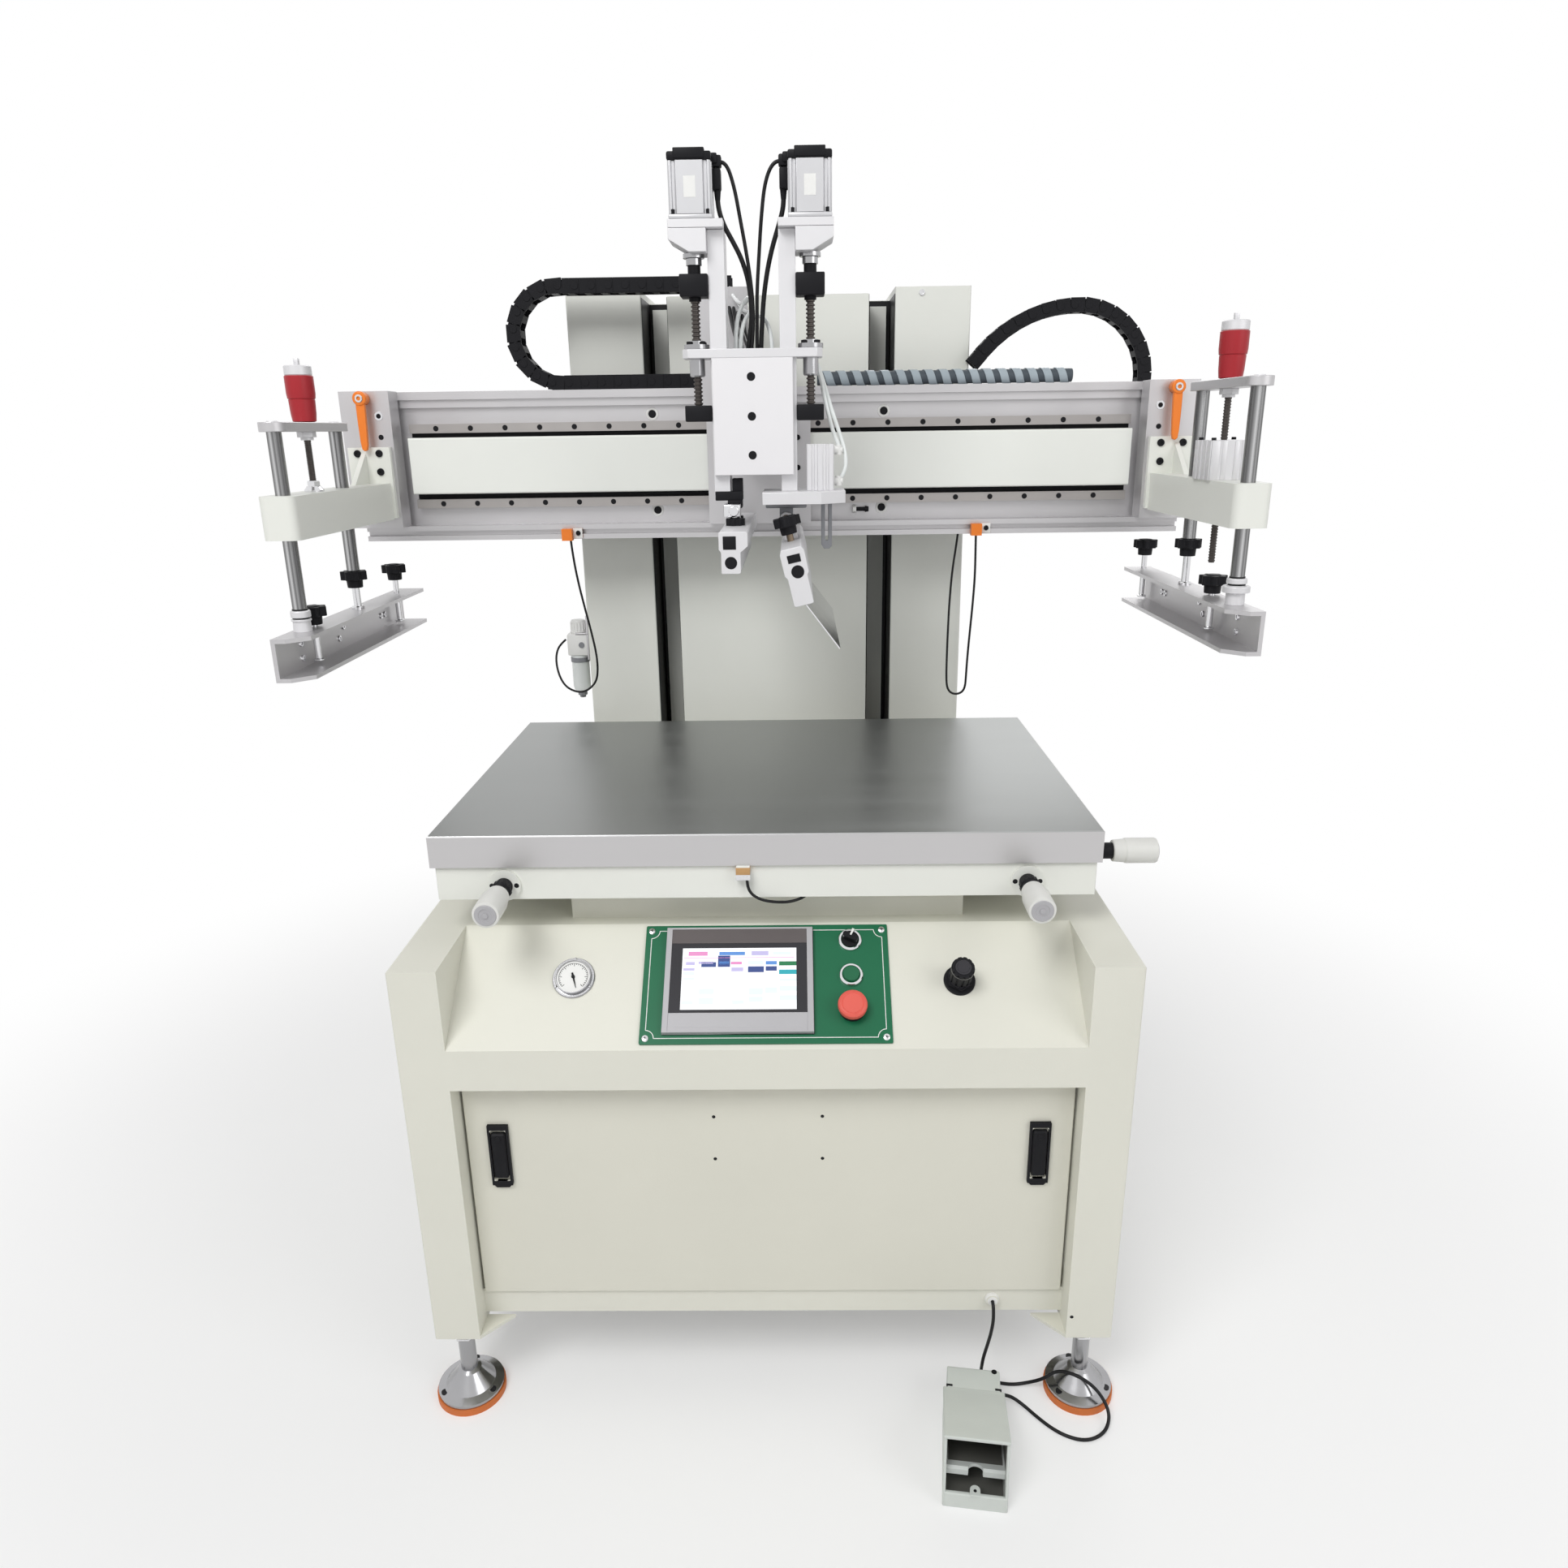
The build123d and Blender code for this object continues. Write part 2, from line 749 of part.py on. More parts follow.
def print_table():
    """Support box, cross slide, white sub-frame and the ground steel table."""
    slab_bottom = table_top - table_thickness
    subframe_bottom = slab_bottom - subframe_thickness
    slide_bottom = subframe_bottom - slide_gap - cross_slide_thickness
    table_back = table_front + table_depth
    with BuildPart() as support:
        box_between((-support_half_width, table_front + support_inset, cabinet_top),
                    (support_half_width, table_back - support_inset, slide_bottom - slide_gap))
    keep(support, "table_support")
    with BuildPart() as cross_slide:
        inset = support_inset + cross_slide_inset
        half = support_half_width - cross_slide_inset
        box_between((-half, table_front + inset, slide_bottom),
                    (half, table_back - inset, slide_bottom + cross_slide_thickness))
    keep(cross_slide, "cross_slide")

    half = table_width / 2
    with BuildPart() as slab:
        box_between((-half, table_front, slab_bottom), (half, table_back, table_top))
        chamfer(slab.edges().group_by(Axis.Z)[-1], length=table_chamfer)
    keep(slab, "table_slab")

    frame_front = table_front + subframe_inset
    frame_half = half - subframe_inset
    with BuildPart() as subframe:
        box_between((-frame_half, frame_front, subframe_bottom),
                    (frame_half, table_back - subframe_inset, slab_bottom))
        fillet(subframe.edges().filter_by(Axis.Z), radius=subframe_rounding)
        with BuildSketch(Plane.XZ.offset(-frame_front)):
            with Locations((-adjuster_x, adjuster_z), (adjuster_x, adjuster_z)):
                Circle(adjuster_flange_radius)
        extrude(amount=adjuster_flange_thickness)
        with BuildSketch(Plane.YZ.offset(frame_half)):
            with Locations((side_adjuster_y, side_adjuster_z)):
                Circle(side_flange_radius)
        extrude(amount=adjuster_flange_thickness)
        with BuildSketch(Plane.XZ.offset(-frame_front)):
            with Locations((table_sensor_x, slab_bottom - table_sensor_size[2] / 2)):
                Rectangle(table_sensor_size[0], table_sensor_size[2])
        extrude(amount=table_sensor_size[1])
    keep(subframe, "table_subframe")

    knob_start = frame_front - adjuster_flange_thickness - slide_gap
    for name, x in (("front_left_adjuster", -adjuster_x), ("front_right_adjuster", adjuster_x)):
        with BuildPart() as adjuster:
            with BuildSketch(Plane.XZ.offset(-knob_start)):
                with Locations((x, adjuster_z)):
                    Circle(adjuster_collar_radius)
            extrude(amount=adjuster_collar_length)
            with BuildSketch(Plane.XZ.offset(-knob_start + adjuster_collar_length)):
                with Locations((x, adjuster_z)):
                    Circle(adjuster_grip_radius)
            extrude(amount=adjuster_grip_length)
            chamfer(adjuster.edges().sort_by(Axis.Y)[0], length=adjuster_chamfer)
        keep(adjuster, name)
    side_start = frame_half + adjuster_flange_thickness + slide_gap
    with BuildPart() as side_adjuster:
        with BuildSketch(Plane.YZ.offset(side_start)):
            with Locations((side_adjuster_y, side_adjuster_z)):
                Circle(adjuster_collar_radius)
        extrude(amount=side_collar_length)
        with BuildSketch(Plane.YZ.offset(side_start + side_collar_length)):
            with Locations((side_adjuster_y, side_adjuster_z)):
                Circle(adjuster_grip_radius)
        extrude(amount=side_grip_length)
        chamfer(side_adjuster.edges().sort_by(Axis.X)[-1], length=adjuster_chamfer)
    keep(side_adjuster, "side_adjuster")


# Column

def column():
    """Sheet-metal column with two slots, its lift rails and the air filter."""
    with BuildPart() as sides:
        for side in (-1, 1):
            with Locations((side * (slot_outer + column_half_width) / 2, (column_front + cabinet_back) / 2,
                            (cabinet_top + column_top) / 2)):
                Box(column_half_width - slot_outer, cabinet_back - column_front, column_top - cabinet_top)
        fillet(sides.edges().filter_by(Axis.Z).group_by(Axis.Y)[0], radius=column_rounding)
        box_between((chain_foot_x[0], chain_foot_front, chain_foot_z[0]),
                    (chain_foot_x[1], column_front, chain_foot_z[1]))
    keep(sides, "column_sides")
    with BuildPart() as core:
        box_between((-slot_inner, column_front, cabinet_top), (slot_inner, slot_back, column_centre_top))
        box_between((-slot_outer, slot_back, cabinet_top), (slot_outer, cabinet_back, column_centre_top))
        for side in (-1, 1):
            middle = side * (slot_inner + slot_outer) / 2
            box_between((middle - lift_rail_width / 2, slot_back - lift_rail_depth, cabinet_top),
                        (middle + lift_rail_width / 2, slot_back, column_centre_top - lift_rail_margin))
    keep(core, "column_core")

    half = filter_body / 2
    head_low, head_high = filter_head_z
    face = -column_half_width
    with BuildPart() as air_filter:
        box_between((filter_x - half, filter_y - half, head_low),
                    (filter_x + half, filter_y + half, head_high))
        box_between((filter_x + half, filter_y - half, filter_bracket_low),
                    (face, filter_y + half, filter_top))
        cylinder_up(filter_x, filter_y, filter_bowl_low, head_low, filter_bowl_radius)
        cylinder_up(filter_x, filter_y, filter_drain_low, filter_bowl_low, filter_drain_radius)
        cylinder_up(filter_x, filter_y, head_high, filter_cap_top, filter_cap_radius)
    keep(air_filter, "air_filter")


# Beam

def beam():
    """Extruded cross beam with its rails, cover and lift blocks."""
    with BuildPart() as body:
        with BuildSketch(Plane.YZ.offset(-beam_half_length)):
            with BuildLine():
                Polyline(
                    (lip_front, beam_bottom), (lip_front, lip_top), (beam_front, lip_top),
                    (beam_front, cornice_bottom), (cornice_front + cornice_step, cornice_bottom),
                    (cornice_front + cornice_step, cornice_mid), (cornice_front, cornice_mid),
                    (cornice_front, beam_top), (beam_back, beam_top), (beam_back, beam_bottom),
                    close=True)
            make_face()
            with Locations((lip_front + groove_depth / 2, (beam_bottom + lip_top) / 2),
                           (beam_back - groove_depth / 2, beam_bottom + rear_groove_inset),
                           (beam_back - groove_depth / 2, beam_top - rear_groove_inset)):
                Rectangle(groove_depth, groove_width, mode=Mode.SUBTRACT)
        extrude(amount=2 * beam_half_length)
        for side in (-1, 1):
            box_between((side * lift_block_x - lift_block_width / 2, beam_back, lift_block_bottom),
                        (side * lift_block_x + lift_block_width / 2,
                         slot_back - lift_rail_depth - slide_gap, lift_block_top))
    keep(body, "beam")

    with BuildPart() as rails:
        for z in (lower_rail_z, upper_rail_z):
            box_between((-rail_half_length, beam_front - rail_size, z - rail_size / 2),
                        (rail_half_length, beam_front, z + rail_size / 2))
    keep(rails, "beam_rails")
    with BuildPart() as cover:
        box_between((-rail_half_length, cover_front, cover_bottom),
                    (rail_half_length, beam_front, cover_top))
        fillet(cover.edges().filter_by(Axis.X).group_by(Axis.Y)[0], radius=cover_rounding)
    keep(cover, "beam_cover")


def end_brackets():
    """Angle brackets on the beam's ends and the white arms bolted to them."""
    bracket_back = bracket_front + bracket_thickness
    with BuildPart() as brackets:
        for side in (-1, 1):
            inner = side * bracket_inner
            outer = side * bracket_outer
            low_x, high_x = sorted((inner, outer))
            box_between((low_x, bracket_front, bracket_bottom), (high_x, bracket_back, bracket_top))
            low_x, high_x = sorted((inner, side * (bracket_inner + bracket_web)))
            box_between((low_x, bracket_back, bracket_bottom),
                        (high_x, cornice_front, bracket_top))
    keep(brackets, "end_brackets")

    flange_in, flange_out, flange_low, flange_high = arm_flange
    flange_front = bracket_front - arm_flange_thickness
    with BuildPart() as arms:
        for side in (-1, 1):
            low_x, high_x = sorted((side * arm_inner, side * arm_outer))
            box_between((low_x, arm_front, arm_bottom), (high_x, flange_front, arm_top))
        fillet(arms.edges().filter_by(Axis.Z).group_by(Axis.Y)[0], radius=arm_rounding)
        for side in (-1, 1):
            low_x, high_x = sorted((side * flange_in, side * flange_out))
            box_between((low_x, flange_front, flange_low), (high_x, bracket_front, flange_high))
            gusset_x = side * (arm_outer - gusset_thickness)
            with BuildSketch(Plane.YZ.offset(min(gusset_x, gusset_x - side * gusset_thickness))):
                with BuildLine():
                    Polyline((flange_front, arm_top), (flange_front - gusset_length, arm_top),
                             (flange_front, flange_high - gusset_drop), close=True)
                make_face()
            extrude(amount=gusset_thickness)
            if side > 0:
                block_x = (arm_inner + arm_outer) / 2
                box_between((block_x - arm_block_size[0] / 2, height_knob_y - arm_block_size[1] / 2, arm_top),
                            (block_x + arm_block_size[0] / 2, height_knob_y + arm_block_size[1] / 2,
                             arm_top + arm_block_size[2]))
            with Locations((side * rod_x, rod_front_y, arm_bottom), (side * rod_x, rod_rear_y, arm_bottom)):
                Hole(radius=rod_radius + shaft_gap)
            with Locations((side * rod_x, height_knob_y, arm_bottom)):
                Hole(radius=height_screw_radius + shaft_gap)
    keep(arms, "holder_arms")


def clamp_levers():
    """Orange clamping levers on the end brackets."""
    for name, side in (("left_lever", -1), ("right_lever", 1)):
        x = side * lever_x
        with BuildPart() as lever:
            with BuildSketch(Plane.XZ.offset(-bracket_front + slide_gap)):
                with Locations((x, lever_z)):
                    Circle(lever_hub_radius)
            extrude(amount=lever_standoff + lever_thickness)
            with BuildSketch(Plane.XZ.offset(-bracket_front + slide_gap + lever_standoff)):
                with BuildLine():
                    Polyline((x - lever_width / 2, lever_z), (x + lever_width / 2, lever_z),
                             (x + lever_width / 2 - lever_taper, lever_z - lever_length),
                             (x - lever_width / 2 + lever_taper, lever_z - lever_length), close=True)
                make_face()
            extrude(amount=lever_thickness)
        keep(lever, name)


# Frame holders

def star_knob(x, y, low):
    """Add a lobed hand knob with its neck, standing on a given height."""
    cylinder_up(x, y, low, low + star_neck_height, star_neck_radius)
    with BuildSketch(Plane.XY.offset(low + star_neck_height)) as lobes:
        with Locations((x, y)):
            Circle(star_web_radius)
            with PolarLocations(star_lobe_centre, star_lobes):
                Circle(star_lobe_radius)
    extrude(lobes.sketch, amount=star_height)


def frame_holder(name, side, plate_bottom, channel_bottom, screw_bottom, rod_knob_low, stud_places):
    """Guide rods, top plate, height knob and the channel that holds the screen frame."""
    x = side * rod_x
    channel_top = channel_bottom + channel_height
    plate_top = plate_bottom + holder_plate_thickness
    overhang = holder_plate_width / 2
    with BuildPart() as holder:
        cylinder_up(x, rod_front_y, channel_top, plate_bottom, rod_radius)
        rod_knob_top = rod_knob_low + star_neck_height + star_height
        cylinder_up(x, rod_rear_y, rod_knob_top + slide_gap, plate_bottom, rod_radius)
        cylinder_up(x, rod_rear_y, channel_top, rod_knob_top + 2 * slide_gap, rod_stud_radius)
        cylinder_up(x, rod_front_y, channel_top, channel_top + rod_collar_height, rod_collar_radius)
        cylinder_up(x, height_knob_y, screw_bottom, plate_bottom, height_screw_radius)
        with BuildSketch(Plane.XY.offset(plate_bottom)):
            with Locations((x, (rod_front_y + rod_rear_y) / 2)):
                SlotCenterToCenter(rod_rear_y - rod_front_y, 2 * overhang, rotation=90)
        extrude(amount=holder_plate_thickness)
    keep(holder, f"{name}_holder")

    knob_low = plate_top + slide_gap
    grip_low = plate_top + height_knob_foot
    grip_high = grip_low + height_knob_grip
    cap_high = grip_high + height_knob_cap
    cap_radius = height_knob_radius - height_knob_step
    with BuildPart() as knob:
        with BuildSketch(Plane(origin=(x, height_knob_y, 0), x_dir=(1, 0, 0), z_dir=(0, -1, 0))):
            with BuildLine():
                Polyline(
                    (0, knob_low), (height_knob_low_radius - height_knob_foot_inset, knob_low),
                    (height_knob_low_radius, grip_low), (height_knob_radius, (grip_low + grip_high) / 2),
                    (height_knob_radius, grip_high), (cap_radius, grip_high), (cap_radius, cap_high),
                    (height_knob_stub_radius, cap_high),
                    (height_knob_stub_radius, cap_high + height_knob_stub),
                    (0, cap_high + height_knob_stub), close=True)
            make_face()
        revolve(axis=Axis((x, height_knob_y, 0), (0, 0, 1)))
    keep(knob, f"{name}_height_knob")

    web_x, lip_x = side * channel_outer, side * channel_inner
    with BuildPart() as channel:
        low_x, high_x = sorted((web_x, lip_x))
        box_between((low_x, channel_front, channel_bottom), (high_x, channel_back, channel_top))
        if side > 0:
            low_x, high_x = lip_x - cut_margin, web_x - channel_wall
        else:
            low_x, high_x = web_x + channel_wall, lip_x + cut_margin
        with Locations(((low_x + high_x) / 2, (channel_front + channel_back) / 2,
                        (channel_bottom + channel_top) / 2)):
            Box(high_x - low_x, channel_back - channel_front + 2 * cut_margin,
                channel_height - 2 * channel_wall, mode=Mode.SUBTRACT)
        corner = (channel.edges().filter_by(Axis.Z)
                  .filter_by(lambda e: abs(e.center().X - lip_x) < 1)
                  .group_by(Axis.Y)[0])
        chamfer(corner, length=channel_chamfer)
        with Locations(*[(x, y, channel_top) for y in stud_places]):
            Hole(radius=stud_radius + shaft_gap, depth=channel_height / 2)
    keep(channel, f"{name}_channel")

    with BuildPart() as screws:
        pad_low = channel_bottom + channel_wall + stud_pad_lift
        for y, stand in zip(stud_places, (front_knob_stand, rear_knob_stand)):
            cylinder_up(x, y, pad_low, channel_top + stand, stud_radius)
            cylinder_up(x, y, pad_low, pad_low + stud_pad_thickness, stud_pad_radius)
            star_knob(x, y, channel_top + stand)
        star_knob(x, rod_rear_y, rod_knob_low)
        with Locations((x, rod_rear_y, rod_knob_low + star_neck_height + star_height)):
            Hole(radius=rod_stud_radius + shaft_gap, depth=2 * (star_neck_height + star_height))
    keep(screws, f"{name}_clamp_screws")


# Print head

def carriage():
    """Carriage plate with four rail runners, the cantilever arm and the nut plate."""
    plate_back = carriage_front + carriage_thickness
    with BuildPart() as plate:
        box_between((carriage_left, carriage_front, carriage_bottom),
                    (carriage_right, plate_back, carriage_top))
        rail_front = beam_front - rail_size
        for z in (lower_rail_z, upper_rail_z):
            for low_x in (carriage_left + runner_inset, carriage_right - runner_inset - runner_length):
                box_between((low_x, plate_back, z - runner_height / 2),
                            (low_x + runner_length, rail_front - slide_gap, z + runner_height / 2))
        low_x, high_x = chain_bracket_x
        shelf = beam_top + 2 * chain_radius - chain_bracket_thickness
        box_between((low_x, carriage_front, carriage_top),
                    (high_x, carriage_front + chain_bracket_thickness, shelf))
        box_between((low_x, carriage_front, shelf),
                    (high_x, chain_y + chain_width / 2, shelf + chain_bracket_thickness))
        head_back = head_front + head_plate_thickness
        box_between((arm_box_x[0], head_back, arm_box_z[0]), (arm_box_x[1], carriage_front, arm_box_z[1]))
    keep(plate, "carriage_plate")

    with BuildPart() as front_plate:
        box_between((head_plate_x[0], head_front, head_plate_z[0]),
                    (head_plate_x[1], head_back, head_plate_z[1]))
        chamfer(front_plate.faces().sort_by(Axis.Y)[0].edges(), length=head_plate_chamfer)
    keep(front_plate, "head_plate")

    nut_low = head_plate_z[1]
    nut_high = nut_low + nut_plate_thickness
    bar_front = head_back + slide_gap
    with BuildPart() as nuts:
        box_between((nut_plate_x[0], head_front, nut_low),
                    (nut_plate_x[1], head_front + nut_plate_depth, nut_high))
        for x in (left_bar_x, right_bar_x):
            with Locations((x, bar_front + bar_depth / 2, (nut_low + nut_high) / 2)):
                Box(bar_width + 2 * slide_gap, bar_depth + 2 * slide_gap,
                    nut_plate_thickness + 2 * cut_margin, mode=Mode.SUBTRACT)
        for x in (left_screw_x, right_screw_x):
            cylinder_up(x, screw_y, nut_high, nut_high + nut_flange_height, nut_flange_radius)
            cylinder_up(x, screw_y, nut_low - nut_body_height, nut_low, nut_radius)
            with Locations((x, screw_y, nut_low)):
                Hole(radius=screw_radius + shaft_gap)
    keep(nuts, "nut_plate")


def lift_unit(name, bar_x, screw_x, lug=None):
    """Vertical bar with its motor bracket, screw and bearing blocks, and the motor."""
    side = 1 if screw_x > bar_x else -1
    bar_front = head_front + head_plate_thickness + slide_gap
    bar_back = bar_front + bar_depth
    bar_outer = bar_x + side * bar_width / 2
    bar_inner = bar_x - side * bar_width / 2
    motor_outer = screw_x + side * (motor_size / 2 + motor_plate_margin)
    plate_top = bar_top + unit_plate_thickness
    with BuildPart() as unit:
        box_between((bar_x - bar_width / 2, bar_front, bar_bottom),
                    (bar_x + bar_width / 2, bar_back, bar_top))
        low_x, high_x = sorted((bar_inner, motor_outer))
        box_between((low_x, screw_y - motor_size / 2, bar_top), (high_x, screw_y + motor_size / 2, plate_top))
        with BuildSketch(Plane.XZ.offset(-(screw_y + motor_size / 2))):
            with BuildLine():
                Polyline((bar_outer, bar_top), (motor_outer, bar_top),
                         (motor_outer, bar_top - unit_gusset_edge),
                         (bar_outer + side * unit_gusset_foot, bar_top - unit_gusset_drop),
                         (bar_outer, bar_top - unit_gusset_drop), close=True)
            make_face()
        extrude(amount=motor_size)
        for size, low in ((upper_block_size, upper_block_z), (lower_block_size, lower_block_z)):
            low_x, high_x = sorted((bar_outer, screw_x + side * size[0] / 2))
            box_between((low_x, screw_y - size[1] / 2, low), (high_x, screw_y + size[1] / 2, low + size[2]))
        cylinder_up(screw_x, screw_y, lower_block_z, bar_top, screw_radius)
        if lug:
            lug_x, lug_z = lug
            pivot_lug(lug_x, lug_z, bar_bottom)
            box_between((bar_x - bar_width / 2, lug_y[0], bar_bottom - lug_root),
                        (lug_x + lug_half, lug_y[1], bar_bottom))
    keep(unit, f"{name}_slide")

    with BuildPart() as motor:
        with BuildSketch(Plane.XY.offset(plate_top)):
            with Locations((screw_x, screw_y)):
                RectangleRounded(motor_size, motor_size, motor_corner)
        extrude(amount=motor_height)
        with BuildSketch(Plane.XY.offset(plate_top + motor_height)):
            with Locations((screw_x, screw_y)):
                RectangleRounded(motor_size, motor_size, motor_corner)
        extrude(amount=motor_cap_height)
        chamfer(motor.faces().sort_by(Axis.Z)[-1].edges(), length=motor_chamfer)
    keep(motor, f"{name}_motor")


def pivot_lug(x, z, top):
    """Add a lug with a pin bore, reaching up to the bar or plate above it."""
    lug_low, lug_high = lug_y
    with BuildSketch(Plane.XZ.offset(-lug_high)) as outline:
        with Locations((x, z)):
            Circle(lug_half)
        with Locations((x, (z + top) / 2)):
            Rectangle(2 * lug_half, top - z)
        with Locations((x, z)):
            Circle(pivot_radius + shaft_gap, mode=Mode.SUBTRACT)
    extrude(outline.sketch, amount=lug_high - lug_low)


def tilted(x, z, degrees):
    """A plane at a pivot, facing the operator, turned so its local Y runs along the hanger."""
    turn = math.radians(degrees)
    return Plane(origin=(x, 0, z), x_dir=(math.cos(turn), 0, math.sin(turn)), z_dir=(0, -1, 0))


def bar_clamp(name, x, z, degrees, profile):
    """Clamp that hangs from a pivot pin between two ears, with its hand knob."""
    plane = tilted(x, z, degrees)
    ears = ((lug_y[0] - slide_gap - ear_thickness, lug_y[0] - slide_gap),
            (lug_y[1] + slide_gap, lug_y[1] + slide_gap + ear_thickness))
    drop = profile[0][1]
    with BuildPart() as clamp:
        with BuildSketch(plane.offset(-clamp_back)):
            with BuildLine():
                Polyline(*profile, close=True)
            make_face()
        extrude(amount=clamp_back - clamp_front)
        for ear_low, ear_high in ears:
            with BuildSketch(plane.offset(-ear_high)):
                Circle(lug_half)
                with Locations((0, drop / 2)):
                    Rectangle(2 * lug_half, -drop)
            extrude(amount=ear_high - ear_low)
        with BuildSketch(plane.offset(-ears[1][1])):
            Circle(pivot_radius)
        extrude(amount=ears[1][1] - ears[0][0])
        down = Plane(origin=plane.from_local_coords((0, drop, -knob_y)),
                     x_dir=(0, 1, 0), z_dir=plane.y_dir)
        with BuildSketch(down):
            Circle(stud_radius)
        extrude(amount=-drop - knob_drop)
        with BuildSketch(down.offset(-drop - knob_drop)):
            Circle(star_web_radius)
            with PolarLocations(star_lobe_centre, star_lobes):
                Circle(star_lobe_radius)
        extrude(amount=star_height)
    keep(clamp, name)


def flood_unit():
    """The right unit, with the plate, cylinder, guide and lug of the flood bar."""
    lift_unit("flood", right_bar_x, right_screw_x)
    left, right, low, high = flood_plate
    with BuildPart() as plate:
        with BuildSketch(Plane.XY.offset(low)):
            with BuildLine():
                Polyline((left, flood_plate_front), (right - flood_plate_corner[0], flood_plate_front),
                         (right, flood_plate_front + flood_plate_corner[1]), (right, flood_plate_back),
                         (left, flood_plate_back), close=True)
            make_face()
        extrude(amount=bar_bottom - low)
        with BuildSketch(Plane.XY.offset(bar_bottom)):
            with Locations((cylinder_x, cylinder_y)):
                RectangleRounded(cylinder_size, cylinder_size, cylinder_rounding)
                with GridLocations(cylinder_size, cylinder_groove_pitch, 2, 2):
                    Rectangle(*cylinder_groove, mode=Mode.SUBTRACT)
        extrude(amount=cylinder_height)
        box_between((guide_x[0], guide_y[0], guide_bottom), (guide_x[1], guide_y[1], low))
        pivot_lug(flood_pivot_x, flood_pivot_z, low)
    keep(plate, "flood_plate")


def squeegee_and_flood_clamps():
    """The two clamps and the thin steel flood blade."""
    bar_clamp("squeegee_clamp", squeegee_pivot_x, squeegee_pivot_z, 0, squeegee_clamp_profile)
    bar_clamp("flood_clamp", flood_pivot_x, flood_pivot_z, flood_tilt, flood_clamp_profile)
    plane = tilted(flood_pivot_x, flood_pivot_z, flood_tilt)
    root_drop = min(drop for across, drop in flood_clamp_profile) - slide_gap / 3
    root_a = plane.from_local_coords((blade_root, root_drop, 0))
    root_b = plane.from_local_coords((blade_root + blade_root_thickness, root_drop, 0))
    tip_x, tip_z = blade_tip
    with BuildPart() as blade:
        with BuildSketch(Plane.XZ.offset(-clamp_back)):
            with BuildLine():
                Polyline((root_a.X, root_a.Z), (root_b.X, root_b.Z), (tip_x, tip_z + 1),
                         (tip_x - blade_thickness, tip_z), close=True)
            make_face()
        extrude(amount=clamp_back - clamp_front)
    keep(blade, "flood_blade")


# Cable chains, hoses and switches

def cable_chains():
    """The carriage's chain on the beam, the lift's chain and the hose bundle."""
    low_z = beam_top + slide_gap + chain_thickness / 2
    middle_z = low_z + chain_radius
    outer = chain_radius + chain_thickness / 2
    inner = chain_radius - chain_thickness / 2
    run = chain_end_x - chain_bend_x
    back_face = chain_y + chain_width / 2
    plates = ((back_face, chain_wall), (chain_y - chain_width / 2 + chain_wall, chain_wall))
    bend = math.pi * chain_radius
    bend_links = round(bend / chain_pitch)
    run_links = round(run / chain_pitch)
    with BuildPart() as chain:
        for face, thickness in plates:
            with BuildSketch(Plane.XZ.offset(-face)):
                with Locations((chain_bend_x, middle_z)):
                    Circle(outer)
                with Locations((chain_bend_x + run / 2, middle_z)):
                    Rectangle(run, 2 * outer)
                with Locations((chain_bend_x, middle_z)):
                    Circle(inner, mode=Mode.SUBTRACT)
                with Locations((chain_bend_x + run / 2, middle_z)):
                    Rectangle(run, 2 * inner, mode=Mode.SUBTRACT)
            extrude(amount=thickness)
        with BuildSketch(Plane.XZ.offset(-back_face)):
            with Locations((chain_bend_x, middle_z)):
                with PolarLocations(chain_radius, bend_links, start_angle=90 + 90 / bend_links,
                                    angular_range=180, endpoint=False):
                    with Locations((chain_skin_offset, 0), (-chain_skin_offset, 0)):
                        Rectangle(chain_skin, chain_bar_length)
            for i in range(run_links):
                x = chain_bend_x + (i + 0.5) * run / run_links
                with Locations((x, low_z), (x, low_z + 2 * chain_radius)):
                    with Locations((0, chain_skin_offset), (0, -chain_skin_offset)):
                        Rectangle(chain_bar_length, chain_skin)
        extrude(amount=chain_width)
    keep(chain, "carriage_chain")

    peak_x, peak_z = lift_chain_peak
    right_x = peak_x + lift_chain_right_radius
    right_z = peak_z - lift_chain_right_radius
    reach = (peak_x - lift_chain_start_x) / lift_chain_left_radius
    sweep_angle = math.degrees(math.asin(reach))
    with BuildLine() as middle:
        left_arc = CenterArc((peak_x, peak_z - lift_chain_left_radius), lift_chain_left_radius,
                             90, sweep_angle)
        Line(left_arc @ 1, left_arc @ 1 + (left_arc % 1) * lift_chain_root)
        right_arc = CenterArc((peak_x, right_z), lift_chain_right_radius, 0, 90)
        Line(right_arc @ 0, (right_x, right_z - lift_chain_tail))
    route = middle.wire()
    back_face = lift_chain_y + lift_chain_width / 2
    with BuildPart() as lift_chain:
        for face in (back_face, lift_chain_y - lift_chain_width / 2 + chain_wall):
            with BuildSketch(Plane.XZ.offset(-face)):
                with BuildLine():
                    add(route)
                    offset(amount=chain_thickness / 2, side=Side.BOTH)
                make_face()
            extrude(amount=chain_wall)
        with BuildSketch(Plane.XZ.offset(-back_face)):
            for i in range(lift_chain_links):
                spot = (i + 0.5) / lift_chain_links
                place, way = route @ spot, route % spot
                heading = math.degrees(math.atan2(way.Y, way.X))
                with Locations(Location((place.X, place.Y), heading)):
                    with Locations((0, chain_skin_offset), (0, -chain_skin_offset)):
                        Rectangle(chain_bar_length, chain_skin)
        extrude(amount=lift_chain_width)
    keep(lift_chain, "lift_chain")

    with BuildPart() as bundle:
        with BuildSketch(Plane.YZ.offset(bundle_x[0])):
            with Locations((bundle_y, beam_top + bundle_radius)):
                Circle(bundle_radius)
        extrude(amount=bundle_x[1] - bundle_x[0])
    keep(bundle, "hose_bundle")


